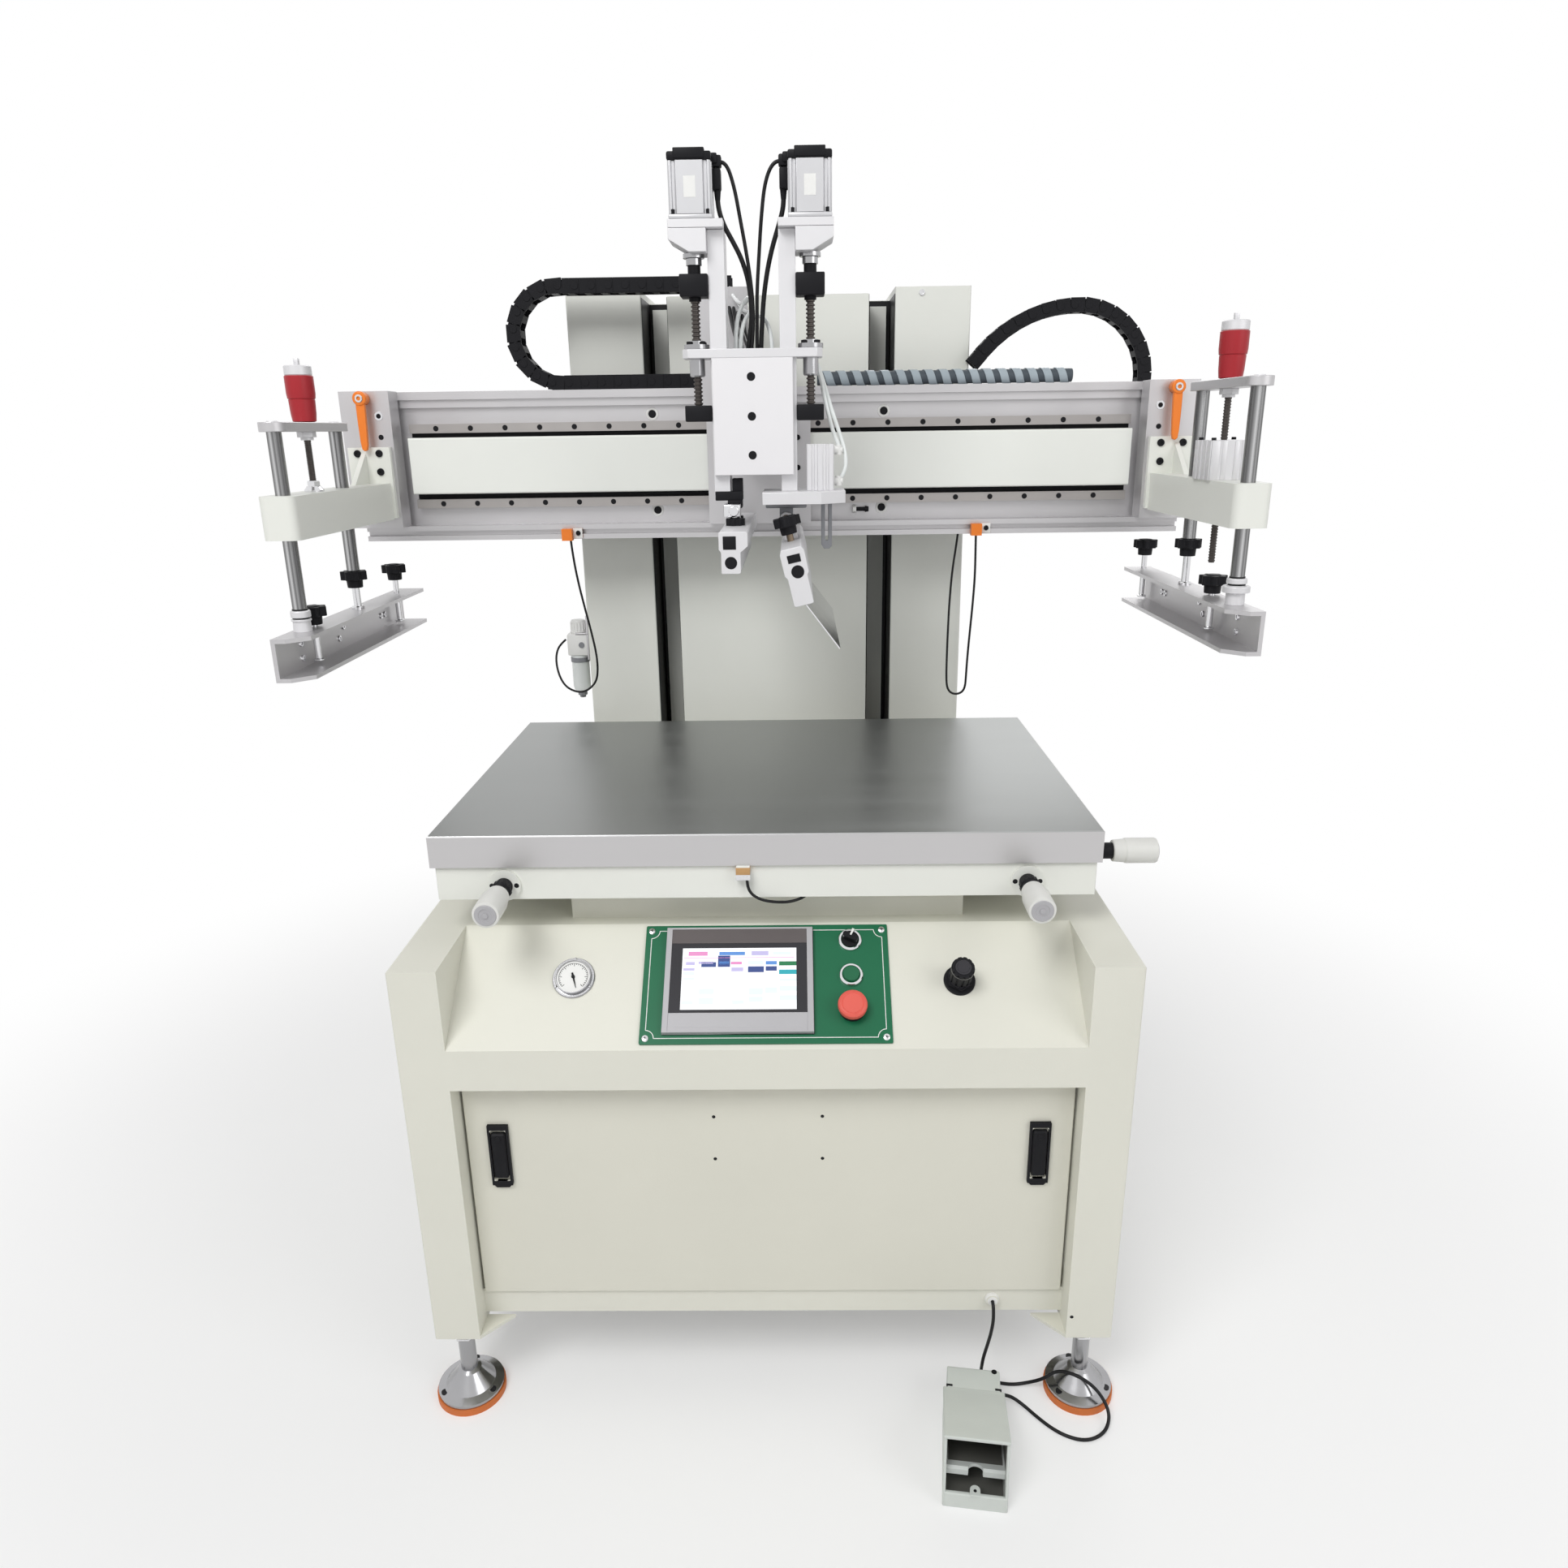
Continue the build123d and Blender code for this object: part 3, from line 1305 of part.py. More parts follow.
def proximity_switches():
    """Two switches on the front of the beam's lip, with their plates."""
    width, depth, height = sensor_size
    with BuildPart() as switches:
        for x in (left_sensor_x, right_sensor_x):
            box_between((x - width / 2, lip_front - depth, sensor_top - height),
                        (x + width / 2, lip_front, sensor_top))
            box_between((x + width / 2, lip_front - sensor_plate[1], sensor_top - sensor_plate[2]),
                        (x + width / 2 + sensor_plate[0], lip_front, sensor_top))
    keep(switches, "proximity_switches")


right_lead_points = (
    (360, 248, 1190.7), (360.6, 248.5, 1165), (361.5, 250, 1118), (360, 255, 1066),
    (357.5, 261, 1013), (355.5, 265, 965), (355, 267, 938), (354, 268, 912),
    (344.5, 268.5, 902.5), (330.5, 269.5, 902.5), (321, 271, 913), (319.5, 273, 940),
    (320, 276, 985), (321, 280, 1030), (323, 285, 1078), (327, 291, 1128),
    (333, 296, 1168), (336, 299, 1192.7))
left_lead_points = (
    (-350, 248, 1190.7), (-348.5, 248.8, 1164), (-343, 251, 1118), (-335, 256, 1070),
    (-327, 262, 1024), (-322, 268, 985), (-322.5, 275, 955), (-328, 284, 931),
    (-343, 294, 914), (-360, 304, 905), (-378, 314, 905), (-396, 326, 912),
    (-409, 340, 928), (-416, 352, 950), (-417, 364, 968), (-412, 377, 982), (-402, 388, 990))
pedal_cord_points = (
    (337.7, -448, 12), (347, -449.3, 11.5), (357, -452.5, 8), (369, -461, 4),
    (383, -478, 2.8), (400, -497, 2.6), (419, -511, 2.7), (442, -518, 2.6),
    (464, -512, 2.7), (481, -497, 4), (487, -479, 16), (472, -460, 36),
    (446, -449, 49), (422, -430, 40), (401, -431, 23), (380, -423, 8),
    (360, -421.5, 2.9), (342, -419, 2.6), (326, -415, 3.4), (315, -415, 11),
    (310.5, -419, 25), (310.5, -424, 42), (311.5, -427, 60), (315, -431, 84),
    (318.5, -436.5, 112), (320.3, -440, 136), (320.7, -438.6, 149), (320.7, -435, 158.5),
    (320.7, -430.5, 162), (320.7, -426.3, 162))


# Foot pedal

def foot_pedal():
    """Guarded foot switch: a moulded housing that is open to the front, and its treadle."""
    turn = math.radians(pedal_turn)
    centre_y = pedal_front + pedal_half_width * abs(math.sin(turn)) + pedal_half_length * math.cos(turn)
    floor = Plane(origin=(pedal_x, centre_y, 0), x_dir=(math.cos(turn), math.sin(turn), 0), z_dir=(0, 0, 1))
    across = Plane(origin=floor.from_local_coords((-pedal_half_width, 0, 0)), x_dir=floor.y_dir,
                   z_dir=floor.x_dir)
    front, back = -pedal_half_length, pedal_half_length
    lip_back, step_front = front + pedal_lip_depth, pedal_step - pedal_step_wall
    mouth_ahead, mouth_above = pedal_mouth_margin
    with BuildPart() as housing:
        with BuildSketch(across):
            with BuildLine():
                Polyline((front, 0), (back, 0), (back, pedal_rear_height - pedal_bevel),
                         (back - pedal_bevel, pedal_rear_height), (pedal_step, pedal_rear_height),
                         (pedal_hood_front, pedal_hood_top), (front, pedal_lip_height), close=True)
            make_face()
        extrude(amount=2 * pedal_half_width)
        fillet(housing.edges().filter_by(Axis.Z).group_by(Axis.Y)[-1], radius=pedal_rounding)
        with BuildSketch(across.offset(pedal_wall)):
            with BuildLine():
                Polyline((lip_back, pedal_floor), (step_front, pedal_floor),
                         (step_front, pedal_rear_height - pedal_rear_wall),
                         (pedal_hood_front, pedal_hood_top - pedal_hood_wall),
                         (front - mouth_ahead, pedal_hood_top + mouth_above),
                         (front - mouth_ahead, pedal_lip_height), (lip_back, pedal_lip_height), close=True)
            make_face()
        extrude(amount=2 * (pedal_half_width - pedal_wall), mode=Mode.SUBTRACT)
    keep(housing, "pedal_housing")

    pivot_y, pivot_z = treadle_pivot
    hinge = Plane(origin=floor.from_local_coords((0, pivot_y, pivot_z)), x_dir=floor.x_dir,
                  z_dir=floor.z_dir)
    half = pedal_half_width - pedal_wall - slide_gap
    slope = math.radians(treadle_slope)
    run_y, run_z = -treadle_length * math.cos(slope), treadle_length * math.sin(slope)
    nose_y = run_y - treadle_nose
    side_plane = Plane(origin=hinge.from_local_coords((-half, 0, 0)), x_dir=floor.y_dir, z_dir=floor.x_dir)
    with BuildPart() as treadle:
        with BuildSketch(side_plane):
            with BuildLine():
                Polyline((0, -treadle_thickness / 2), (0, treadle_thickness / 2),
                         (run_y, run_z + treadle_thickness / 2),
                         (nose_y, run_z + treadle_thickness / 2 - treadle_nose),
                         (nose_y, run_z - treadle_nose_drop), (run_y, run_z - treadle_nose_drop),
                         (run_y, run_z - treadle_thickness / 2), close=True)
            make_face()
            Circle(treadle_pin_radius)
        extrude(amount=2 * half)
        with BuildSketch(hinge.offset(run_z)):
            with Locations((0, nose_y)):
                Circle(treadle_notch_radius)
        extrude(amount=2 * treadle_nose_drop, both=True, mode=Mode.SUBTRACT)
    keep(treadle, "pedal_treadle")


cabinet_shell()
latch_levers()
levelling_feet()
console_fittings()
print_table()
column()
beam()
end_brackets()
clamp_levers()
frame_holder("left", -1, left_plate_bottom, left_channel_bottom, left_screw_bottom,
             left_rod_knob_low, left_stud_y)
frame_holder("right", 1, right_plate_bottom, right_channel_bottom, right_screw_bottom,
             right_rod_knob_low, right_stud_y)
carriage()
lift_unit("squeegee", left_bar_x, left_screw_x, lug=(squeegee_pivot_x, squeegee_pivot_z))
flood_unit()
squeegee_and_flood_clamps()
cable_chains()
proximity_switches()
make_cord("right_sensor_lead", right_lead_points, lead_radius)
make_cord("left_sensor_lead", left_lead_points, lead_radius)
foot_pedal()
make_cord("pedal_cord", pedal_cord_points, cord_radius)
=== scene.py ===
"""Looks of the flat-bed screen printing machine.

Lengths are in millimetres until a piece is finished. X points to the operator's right, Y to the
rear and Z up.
"""
import bpy
import bmesh
import json
import math
from mathutils import Matrix, Vector


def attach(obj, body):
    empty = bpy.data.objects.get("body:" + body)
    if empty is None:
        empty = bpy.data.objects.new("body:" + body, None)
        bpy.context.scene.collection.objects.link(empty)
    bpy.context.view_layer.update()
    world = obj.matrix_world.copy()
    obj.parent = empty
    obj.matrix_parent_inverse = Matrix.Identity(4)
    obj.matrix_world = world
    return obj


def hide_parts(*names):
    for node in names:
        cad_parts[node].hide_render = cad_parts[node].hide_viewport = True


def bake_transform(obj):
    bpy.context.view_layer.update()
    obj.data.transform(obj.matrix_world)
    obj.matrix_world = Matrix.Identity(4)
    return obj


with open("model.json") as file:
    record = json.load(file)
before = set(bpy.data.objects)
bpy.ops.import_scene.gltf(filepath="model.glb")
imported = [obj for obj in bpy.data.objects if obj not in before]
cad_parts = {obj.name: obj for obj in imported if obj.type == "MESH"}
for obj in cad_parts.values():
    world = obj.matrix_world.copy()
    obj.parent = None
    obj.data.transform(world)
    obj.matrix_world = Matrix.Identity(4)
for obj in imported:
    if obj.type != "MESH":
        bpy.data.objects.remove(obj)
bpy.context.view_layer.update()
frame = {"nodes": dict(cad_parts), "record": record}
MM = 0.001
FORWARD = (0, -1, 0)     # towards the operator
PAGE_GLOW = 0.8


# Finishes

LOOKS = {}


def finish(name, colour, roughness, metallic=0.0, grain=0.0, grain_scale=60.0, bump=0.0,
           bump_scale=900.0, stretch=(1, 1, 1), wear=0.0, shine=0.5):
    """A material whose colour, roughness and surface vary a little over the piece."""
    material = LOOKS[name] = bpy.data.materials.new(name)
    material.use_nodes = True
    nodes, links = material.node_tree.nodes, material.node_tree.links
    shader = nodes["Principled BSDF"]
    shader.inputs["Metallic"].default_value = metallic
    shader.inputs["Specular IOR Level"].default_value = shine
    place = nodes.new("ShaderNodeTexCoord")
    turn = nodes.new("ShaderNodeMapping")
    turn.inputs["Scale"].default_value = stretch
    links.new(place.outputs["Object"], turn.inputs["Vector"])
    cloud = nodes.new("ShaderNodeTexNoise")
    cloud.inputs["Scale"].default_value = grain_scale
    cloud.inputs["Detail"].default_value = 4.0
    links.new(turn.outputs["Vector"], cloud.inputs["Vector"])
    tint = nodes.new("ShaderNodeMix")
    tint.data_type = "RGBA"
    tint.inputs["A"].default_value = [max(0.0, c * (1 - grain)) for c in colour] + [1]
    tint.inputs["B"].default_value = [min(1.0, c * (1 + grain)) for c in colour] + [1]
    links.new(cloud.outputs["Fac"], tint.inputs["Factor"])
    links.new(tint.outputs["Result"], shader.inputs["Base Color"])
    spread = nodes.new("ShaderNodeMapRange")
    spread.inputs["To Min"].default_value = max(0.02, roughness - wear)
    spread.inputs["To Max"].default_value = min(1.0, roughness + wear)
    links.new(cloud.outputs["Fac"], spread.inputs["Value"])
    links.new(spread.outputs["Result"], shader.inputs["Roughness"])
    if bump:
        fine = nodes.new("ShaderNodeTexNoise")
        fine.inputs["Scale"].default_value = bump_scale
        links.new(turn.outputs["Vector"], fine.inputs["Vector"])
        relief = nodes.new("ShaderNodeBump")
        relief.inputs["Strength"].default_value = bump
        relief.inputs["Distance"].default_value = 0.0004
        links.new(fine.outputs["Fac"], relief.inputs["Height"])
        links.new(relief.outputs["Normal"], shader.inputs["Normal"])
    return material


def facing_along(nodes, links, axis):
    """How far a surface faces along an axis, from -1 to 1."""
    place = nodes.new("ShaderNodeTexCoord")
    parts = nodes.new("ShaderNodeSeparateXYZ")
    links.new(place.outputs["Normal"], parts.inputs["Vector"])
    return parts.outputs[axis]


def streaked_with_painted_reflections(name, reflection_tones, roughness):
    """Polished round steel with painted reflections: dark and bright streaks, set by which way the
    surface faces, run along an upright bar.
    """
    material = finish(name, (0.6, 0.6, 0.61), roughness, metallic=0.9, wear=0.04)
    nodes, links = material.node_tree.nodes, material.node_tree.links
    spread = nodes.new("ShaderNodeMapRange")
    spread.inputs["From Min"].default_value = -1.0
    links.new(facing_along(nodes, links, "X"), spread.inputs["Value"])
    ramp = nodes.new("ShaderNodeValToRGB")
    stops = ramp.color_ramp.elements
    for stop, (spot, tone) in zip(stops, (reflection_tones[0], reflection_tones[-1])):
        stop.position, stop.color = spot, (tone, tone, tone, 1)
    for spot, tone in reflection_tones[1:-1]:
        stops.new(spot).color = (tone, tone, tone * 1.01, 1)
    links.new(spread.outputs["Result"], ramp.inputs["Fac"])
    links.new(ramp.outputs["Color"], nodes["Principled BSDF"].inputs["Base Color"])


def ground(name, top, lit_edge_tone):
    """Ground steel with painted light: faces that look up are painted darker than its edges."""
    material = finish(name, top, 0.34, metallic=0.85, grain=0.1, grain_scale=5, bump=0.1,
                      bump_scale=140, stretch=(0.15, 6, 1), wear=0.07)
    nodes, links = material.node_tree.nodes, material.node_tree.links
    base = nodes["Principled BSDF"].inputs["Base Color"]
    tint = base.links[0].from_socket
    # Painted shade and light: the colour follows how far a face looks up, darker on top and lighter
    # on the edges.
    mix = nodes.new("ShaderNodeMix")
    mix.data_type = "RGBA"
    mix.inputs["A"].default_value = (*lit_edge_tone, 1)
    links.new(facing_along(nodes, links, "Z"), mix.inputs["Factor"])
    links.new(tint, mix.inputs["B"])
    links.new(mix.outputs["Result"], base)


finish("cream_paint", (0.73, 0.725, 0.645), 0.42, grain=0.03, grain_scale=6, bump=0.25,
       bump_scale=420, wear=0.06, shine=0.35)
finish("panel_paint", (0.70, 0.69, 0.605), 0.45, grain=0.03, grain_scale=6, bump=0.25,
       bump_scale=420, wear=0.06, shine=0.35)
finish("white_paint", (0.78, 0.79, 0.74), 0.38, grain=0.02, grain_scale=8, bump=0.2,
       bump_scale=420, wear=0.05, shine=0.35)
# Its darker top and lighter edges are painted shade and painted light.
ground("ground_steel", (0.33, 0.34, 0.335), (0.56, 0.55, 0.555))
finish("dark_steel", (0.085, 0.075, 0.07), 0.42, metallic=0.7, grain=0.2, grain_scale=20, wear=0.1,
       shine=0.3)
finish("aluminium", (0.55, 0.54, 0.55), 0.38, metallic=0.7, grain=0.05, grain_scale=12, bump=0.06,
       bump_scale=500, wear=0.06)
finish("motor_aluminium", (0.56, 0.56, 0.575), 0.42, metallic=0.45, grain=0.04, grain_scale=14,
       bump=0.1, bump_scale=700, wear=0.05)
finish("milled_aluminium", (0.69, 0.685, 0.70), 0.45, metallic=0.3, grain=0.03, grain_scale=12,
       bump=0.05, bump_scale=500, wear=0.05)
finish("plate_aluminium", (0.77, 0.76, 0.775), 0.46, metallic=0.2, grain=0.02, grain_scale=10,
       bump=0.04, bump_scale=600, wear=0.04)
# A lighter copy of the white paint: painted light for the front-lit beam cover.
finish("lit_cover_paint", (0.85, 0.865, 0.82), 0.36, grain=0.02, grain_scale=8, wear=0.04, shine=0.35)
finish("dull_chrome", (0.40, 0.40, 0.41), 0.2, metallic=1.0, grain=0.12, grain_scale=15, wear=0.08)
finish("dark_anodised", (0.22, 0.225, 0.24), 0.42, metallic=0.5, grain=0.06, grain_scale=20,
       wear=0.06)
finish("bronze", (0.20, 0.155, 0.11), 0.38, metallic=0.8, grain=0.08, grain_scale=20, wear=0.06)
# The guide rods' dark and bright streaks are painted reflections.
streaked_with_painted_reflections("polished_steel", ((0.0, 0.26), (0.16, 0.12), (0.3, 0.32), (0.42, 0.6), (0.5, 0.4),
                            (0.58, 0.16), (0.7, 0.34), (0.84, 0.1), (1.0, 0.28)), 0.22)
finish("chrome", (0.72, 0.72, 0.735), 0.14, metallic=1.0, grain=0.04, grain_scale=15, wear=0.05)
finish("black_plastic", (0.013, 0.013, 0.015), 0.46, grain=0.2, grain_scale=40, bump=0.15,
       bump_scale=800, wear=0.08, shine=0.1)
finish("grip_plastic", (0.70, 0.70, 0.67), 0.4, grain=0.03, grain_scale=30, wear=0.05)
finish("red_plastic", (0.38, 0.022, 0.03), 0.36, grain=0.06, grain_scale=30, wear=0.06, shine=0.3)
finish("green_plastic", (0.01, 0.13, 0.055), 0.25, grain=0.05, grain_scale=30, shine=0.35)
finish("green_plate", (0.010, 0.135, 0.06), 0.34, grain=0.05, grain_scale=20, wear=0.04, shine=0.25)
finish("orange_plastic", (0.85, 0.22, 0.03), 0.38, grain=0.04, grain_scale=30, wear=0.05, shine=0.3)
finish("orange_rubber", (0.62, 0.16, 0.03), 0.55, grain=0.08, grain_scale=30, wear=0.05)
# Dark enough to paint the table's shadow on the screen bezel's top band, which wears this finish.
finish("screen_plastic", (0.12, 0.105, 0.105), 0.3, grain=0.03, grain_scale=30, shine=0.25)
finish("white_plastic", (0.80, 0.80, 0.78), 0.32, grain=0.03, grain_scale=30)
finish("striped_plastic", (0.36, 0.42, 0.46), 0.2, grain=0.1, grain_scale=30)
finish("pedal_plastic", (0.62, 0.655, 0.62), 0.5, grain=0.04, grain_scale=30, bump=0.3,
       bump_scale=600, wear=0.05)
# Painted shade for the inside of the pedal's hood and the treadle's top.
finish("pedal_painted_shade", (0.10, 0.10, 0.09), 0.45, grain=0.06, grain_scale=30)
finish("pedal_pad", (0.55, 0.58, 0.56), 0.5, grain=0.04, grain_scale=30, bump=0.3, bump_scale=600)
finish("bundle_rubber", (0.07, 0.085, 0.10), 0.4, grain=0.15, grain_scale=30, wear=0.06, shine=0.25)
finish("clear_plastic", (0.78, 0.81, 0.80), 0.16, grain=0.05, grain_scale=40, wear=0.04)
finish("silver_plastic", (0.42, 0.415, 0.43), 0.4, metallic=0.1, grain=0.03, grain_scale=30,
       bump=0.05, bump_scale=700, shine=0.35)
finish("gloss_black", (0.016, 0.015, 0.02), 0.16, grain=0.1, grain_scale=30)
finish("stop_red", (0.74, 0.12, 0.09), 0.4, grain=0.05, grain_scale=30, shine=0.35)
finish("amber_plastic", (0.50, 0.29, 0.12), 0.4, grain=0.08, grain_scale=60)
finish("rail_steel", (0.38, 0.36, 0.35), 0.4, metallic=0.7, grain=0.08, grain_scale=20, wear=0.06,
       shine=0.35)
finish("black_rubber", (0.012, 0.012, 0.013), 0.38, grain=0.1, grain_scale=30, wear=0.05, shine=0.2)

PAGE = {"white": (0.93, 0.94, 0.97), "navy": (0.03, 0.06, 0.22), "blue": (0.10, 0.26, 0.62),
        "pink": (0.72, 0.26, 0.52), "teal": (0.02, 0.36, 0.42), "green": (0.01, 0.17, 0.06),
        "lilac": (0.50, 0.46, 0.72), "pale": (0.72, 0.80, 0.86)}
for tone, colour in PAGE.items():
    page = finish("screen_" + tone, [0.4 * c for c in colour], 0.25, grain=0.02)
    lit = page.node_tree.nodes["Principled BSDF"]
    lit.inputs["Emission Color"].default_value = (*colour, 1)
    lit.inputs["Emission Strength"].default_value = PAGE_GLOW

OWN_LOOKS = {"beam_rails": "rail_steel", "head_plate": "plate_aluminium",
             "beam_cover": "lit_cover_paint", "levelling_feet": "dull_chrome"}
for part in frame["record"]["subparts"]:
    node = frame["nodes"][part["node"]]
    node.data.materials.clear()
    node.data.materials.append(LOOKS[OWN_LOOKS.get(part["node"], part["material_slot"])])


# Places

def at(x, y, z=0.0):
    """A place, its axes along the machine's."""
    return Matrix.Translation((x, y, z))


def front(x, y, z):
    """A frame whose local Z points at the operator, local X right and local Y up."""
    return at(x, y, z) @ Matrix.Rotation(math.pi / 2, 4, "X")


def toward(start, direction=FORWARD):
    """A matrix that puts local Z along a direction, at a point."""
    turn = Vector(direction).to_track_quat("Z", "Y").to_matrix().to_4x4()
    return Matrix.Translation(Vector(start)) @ turn


def around(radius, degrees, x=0.0, y=0.0):
    """A point on a circle about (x, y)."""
    turn = math.radians(degrees)
    return x + radius * math.cos(turn), y + radius * math.sin(turn)


# Mesh making

def box(bm, low, high, edge=0.0):
    """A block between two corners, its edges rounded if asked."""
    middle = (Vector(low) + Vector(high)) / 2
    size = Vector(high) - Vector(low)
    place = Matrix.Translation(middle) @ Matrix.Diagonal((*size, 1))
    made = bmesh.ops.create_cube(bm, size=1, matrix=place)
    soften(bm, made["verts"], edge)
    return made["verts"]


def soften(bm, verts, edge):
    """Rounds all the edges of a block."""
    if edge:
        edges = list({e for v in verts for e in v.link_edges})
        bmesh.ops.bevel(bm, geom=edges, offset=edge, offset_type="OFFSET", affect="EDGES",
                        segments=2, profile=0.5, material=-1)


def rod(bm, start, end, radius, far_radius=None, sides=32):
    """A round bar or cone between two points."""
    axis = Vector(end) - Vector(start)
    matrix = toward((Vector(start) + Vector(end)) / 2, axis)
    return bmesh.ops.create_cone(bm, cap_ends=True, segments=sides, radius1=radius,
                                 radius2=radius if far_radius is None else far_radius,
                                 depth=axis.length, matrix=matrix)["verts"]


def turned(bm, profile, matrix, sides=32):
    """A turned piece from (radius, height) pairs, its axis on the matrix's Z."""
    chain = [bm.verts.new((r, 0, h)) for r, h in profile]
    for pair in zip(chain, chain[1:]):
        bm.edges.new(pair)
    edges = list({e for v in chain for e in v.link_edges})
    before = set(bm.verts) - set(chain)
    bmesh.ops.spin(bm, geom=chain + edges, cent=(0, 0, 0), axis=(0, 0, 1), angle=math.tau,
                   steps=sides, use_merge=True)
    fresh = [v for v in bm.verts if v not in before]
    bmesh.ops.remove_doubles(bm, verts=fresh, dist=0.0005)
    fresh = [v for v in bm.verts if v not in before]
    bmesh.ops.transform(bm, matrix=matrix, verts=fresh)
    return fresh


def plate(bm, outline, thickness, matrix):
    """A flat outline in local XY, given a thickness along local Z."""
    flat = [bm.verts.new((x, y, 0)) for x, y in outline]
    face = bm.faces.new(flat)
    made = bmesh.ops.extrude_face_region(bm, geom=[face])
    far = [g for g in made["geom"] if isinstance(g, bmesh.types.BMVert)]
    bmesh.ops.translate(bm, vec=(0, 0, thickness), verts=far)
    bmesh.ops.transform(bm, matrix=matrix, verts=flat + far)
    return flat + far


def four_fold(quarter):
    """A closed outline from one quarter of it, turned about the middle."""
    outline = []
    for _ in range(4):
        outline += quarter
        quarter = [(-y, x) for x, y in quarter]
    return outline


def cap_screw(bm, point, direction, radius):
    """A socket head screw standing on a face."""
    height = radius * 1.1
    turned(bm, [(0, height * 0.35), (radius * 0.5, height * 0.35), (radius * 0.52, height),
                (radius * 0.88, height), (radius, height * 0.85), (radius, 0), (0, 0)],
           toward(point, direction), sides=20)


def button_screw(bm, place, hole, rim, head, foot, depth, height, sides):
    """A low round screw head with a socket: four radii, then its socket's floor and its top."""
    turned(bm, [(0, depth), (hole, depth), (rim, height), (head, height), (foot, 0), (0, 0)],
           place, sides)


def disc(bm, place, radius, height, sides):
    """A thin round plate, such as a dark disc of painted shade in a hole."""
    turned(bm, [(0, 0), (radius, 0), (radius, height), (0, height)], place, sides)


def ring(bm, place, inner, outer, low, high):
    """A plain ring between two heights."""
    turned(bm, [(inner, low), (outer, low), (outer, high), (inner, high), (inner, low)], place,
           sides=48)


def hex_nut(bm, point, direction, radius, height):
    """A six-sided nut standing on a face."""
    end = Vector(point) + Vector(direction).normalized() * height
    rod(bm, point, end, radius, sides=6)


def placed(name, data, look=None):
    """A mesh, curve, lamp or camera as an object in the scene."""
    obj = bpy.data.objects.new(name, data)
    bpy.context.scene.collection.objects.link(obj)
    if look:
        data.materials.append(LOOKS[look])
    return obj


def piece(bm, name, look, body, slot=None, edge=0.0, sharp=32, covers=()):
    """Finishes a mesh as a piece of the machine that moves with a body."""
    bmesh.ops.recalc_face_normals(bm, faces=bm.faces)
    bmesh.ops.scale(bm, vec=(MM, MM, MM), verts=bm.verts)
    mesh = bpy.data.meshes.new(name)
    bm.to_mesh(mesh)
    bm.free()
    for polygon in mesh.polygons:
        polygon.use_smooth = True
    mesh.set_sharp_from_angle(angle=math.radians(sharp))
    obj = placed(name, mesh, look)
    if edge:
        rounding = obj.modifiers.new("edges", "BEVEL")
        rounding.width = edge * MM
        rounding.segments = 2
        rounding.limit_method = "ANGLE"
        rounding.angle_limit = math.radians(40)
    if body:
        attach(obj, body)
    if covers:
        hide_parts(*covers)
    return obj


def curve_piece(points, name, look, body, radius):
    """A smooth round cord, hose or lead along a route."""
    line = bpy.data.curves.new(name, "CURVE")
    line.dimensions = "3D"
    line.bevel_depth = radius * MM
    line.bevel_resolution = 4
    line.resolution_u = 8
    line.use_fill_caps = True
    spline = line.splines.new("NURBS")
    spline.points.add(len(points) - 1)
    for point, spot in zip(spline.points, points):
        point.co = (*[c * MM for c in spot], 1)
    spline.order_u = 3
    spline.use_endpoint_u = True
    obj = placed(name, line, look)
    if body:
        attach(obj, body)
    return obj


# Cords


def free_cord(node, points, diameter, body):
    """A lead or cord that stands for its solid."""
    line = curve_piece(points, node + "_line", "black_rubber", body, diameter / 2)
    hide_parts(node)


free_cord("right_sensor_lead", [
    (360, 248, 1190.7), (360.6, 248.5, 1165), (361.5, 250, 1118), (360, 255, 1066),
    (357.5, 261, 1013), (355.5, 265, 965), (355, 267, 938), (354, 268, 912),
    (344.5, 268.5, 902.5), (330.5, 269.5, 902.5), (321, 271, 913), (319.5, 273, 940),
    (320, 276, 985), (321, 280, 1030), (323, 285, 1078), (327, 291, 1128),
    (333, 296, 1168), (336, 299, 1192.7)], 4, "head_beam")
free_cord("pedal_cord", [
    (337.7, -448, 12), (347, -449.3, 11.5), (357, -452.5, 8), (369, -461, 4),
    (383, -478, 2.8), (400, -497, 2.6), (419, -511, 2.7), (442, -518, 2.6),
    (464, -512, 2.7), (481, -497, 4), (487, -479, 16), (472, -460, 36),
    (446, -449, 49), (422, -430, 40), (401, -431, 23), (380, -423, 8),
    (360, -421.5, 2.9), (342, -419, 2.6), (326, -415, 3.4), (315, -415, 11),
    (310.5, -419, 25), (310.5, -424, 42), (311.5, -427, 60), (315, -431, 84),
    (318.5, -436.5, 112), (320.3, -440, 136), (320.7, -438.6, 149), (320.7, -435, 158.5),
    (320.7, -430.5, 162), (320.7, -426.3, 162)], 5, "stand")

# The left lead hangs between the moving beam and the column, and is made as a mesh.
left_lead_points = [
    (-350, 248, 1190.7), (-348.5, 248.8, 1164), (-343, 251, 1118), (-335, 256, 1070),
    (-327, 262, 1024), (-322, 268, 985), (-322.5, 275, 955), (-328, 284, 931),
    (-343, 294, 914), (-360, 304, 905), (-378, 314, 905), (-396, 326, 912),
    (-409, 340, 928), (-416, 352, 950), (-417, 364, 968), (-412, 377, 982), (-402, 388, 990)]


